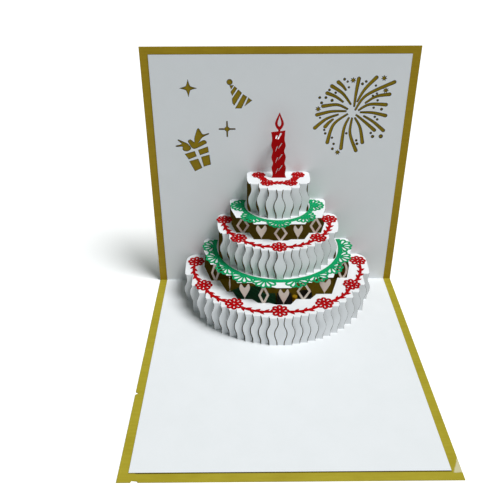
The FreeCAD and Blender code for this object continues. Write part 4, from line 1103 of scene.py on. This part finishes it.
FLOOR_SIZE = 6.0
FLOOR_TO_LIGHT = (0.62, 0.63, 0.64, 1)
FLOOR_TO_CAMERA = (1.25, 1.25, 1.25, 1)
SKY_COLOUR = (0.85, 1.0, 0.97, 1)
SKY_STRENGTH = 0.13
SUN = {"direction": (0.44, -0.24, 0.86), "strength": 3.03, "softness": 30, "colour": (0.99, 0.995, 1.0)}


def stage_material():
    """Pale to the light; a paler white to the camera alone, so the card's shadow stays on it."""
    g = Graph("stage_white")
    g.tree.nodes.remove(g.shader)
    plain = g.tree.nodes.new("ShaderNodeBsdfDiffuse")
    plain.inputs["Color"].default_value = FLOOR_TO_LIGHT
    shown = g.tree.nodes.new("ShaderNodeBsdfDiffuse")
    shown.inputs["Color"].default_value = FLOOR_TO_CAMERA
    path = g.tree.nodes.new("ShaderNodeLightPath")
    both = g.tree.nodes.new("ShaderNodeMixShader")
    g.join(path.outputs["Is Camera Ray"], both.inputs["Fac"])
    g.join(plain.outputs["BSDF"], both.inputs[1])
    g.join(shown.outputs["BSDF"], both.inputs[2])
    g.join(both.outputs[0], g.output.inputs["Surface"])
    return g.material


bpy.ops.mesh.primitive_plane_add(size=FLOOR_SIZE, location=(0, 0, 0))
floor = bpy.context.object
floor.name = "floor"
floor.data.materials.append(stage_material())

world = bpy.data.worlds.new("world")
world.use_nodes = True
bpy.context.scene.world = world
tree = world.node_tree
tree.nodes.clear()
out = tree.nodes.new("ShaderNodeOutputWorld")
light = tree.nodes.new("ShaderNodeBackground")
light.inputs["Color"].default_value = SKY_COLOUR
light.inputs["Strength"].default_value = SKY_STRENGTH
seen = tree.nodes.new("ShaderNodeBackground")
seen.inputs["Color"].default_value = (1, 1, 1, 1)
seen.inputs["Strength"].default_value = 1.0
path = tree.nodes.new("ShaderNodeLightPath")
mix = tree.nodes.new("ShaderNodeMixShader")
tree.links.new(path.outputs["Is Camera Ray"], mix.inputs["Fac"])
tree.links.new(light.outputs[0], mix.inputs[1])
tree.links.new(seen.outputs[0], mix.inputs[2])
tree.links.new(mix.outputs[0], out.inputs["Surface"])


def sun(name, direction, strength, softness, colour):
    """Even light from one side of the sky; its softness is the angle that it fills, in degrees."""
    data = bpy.data.lights.new(name, "SUN")
    data.energy = strength
    data.angle = math.radians(softness)
    data.color = colour
    sun_object = bpy.data.objects.new(name, data)
    bpy.context.scene.collection.objects.link(sun_object)
    sun_object.rotation_euler = (-Vector(direction)).to_track_quat("-Z", "Y").to_euler()


sun("key", **SUN)


# Camera at the photo's place

camera_data = bpy.data.cameras.new("camera")
camera_data.sensor_width = 36.0
camera_data.lens = FOCAL_PIXELS / PHOTO_SIDE * camera_data.sensor_width
camera_data.shift_y = (PRINCIPAL_ROW - PHOTO_SIDE / 2) / PHOTO_SIDE
camera_data.clip_start = 0.01
camera = bpy.data.objects.new("camera", camera_data)
bpy.context.scene.collection.objects.link(camera)
turn = Matrix.Rotation(math.radians(CAMERA_YAW), 4, "Z")
turn = turn @ Matrix.Rotation(math.radians(CAMERA_TILT), 4, "X")
turn = turn @ Matrix.Rotation(math.radians(CAMERA_ROLL), 4, "Z")
camera.matrix_world = Matrix.Translation(CAMERA_PLACE) @ turn
bpy.context.scene.camera = camera
bpy.context.scene.view_settings.view_transform = "Standard"
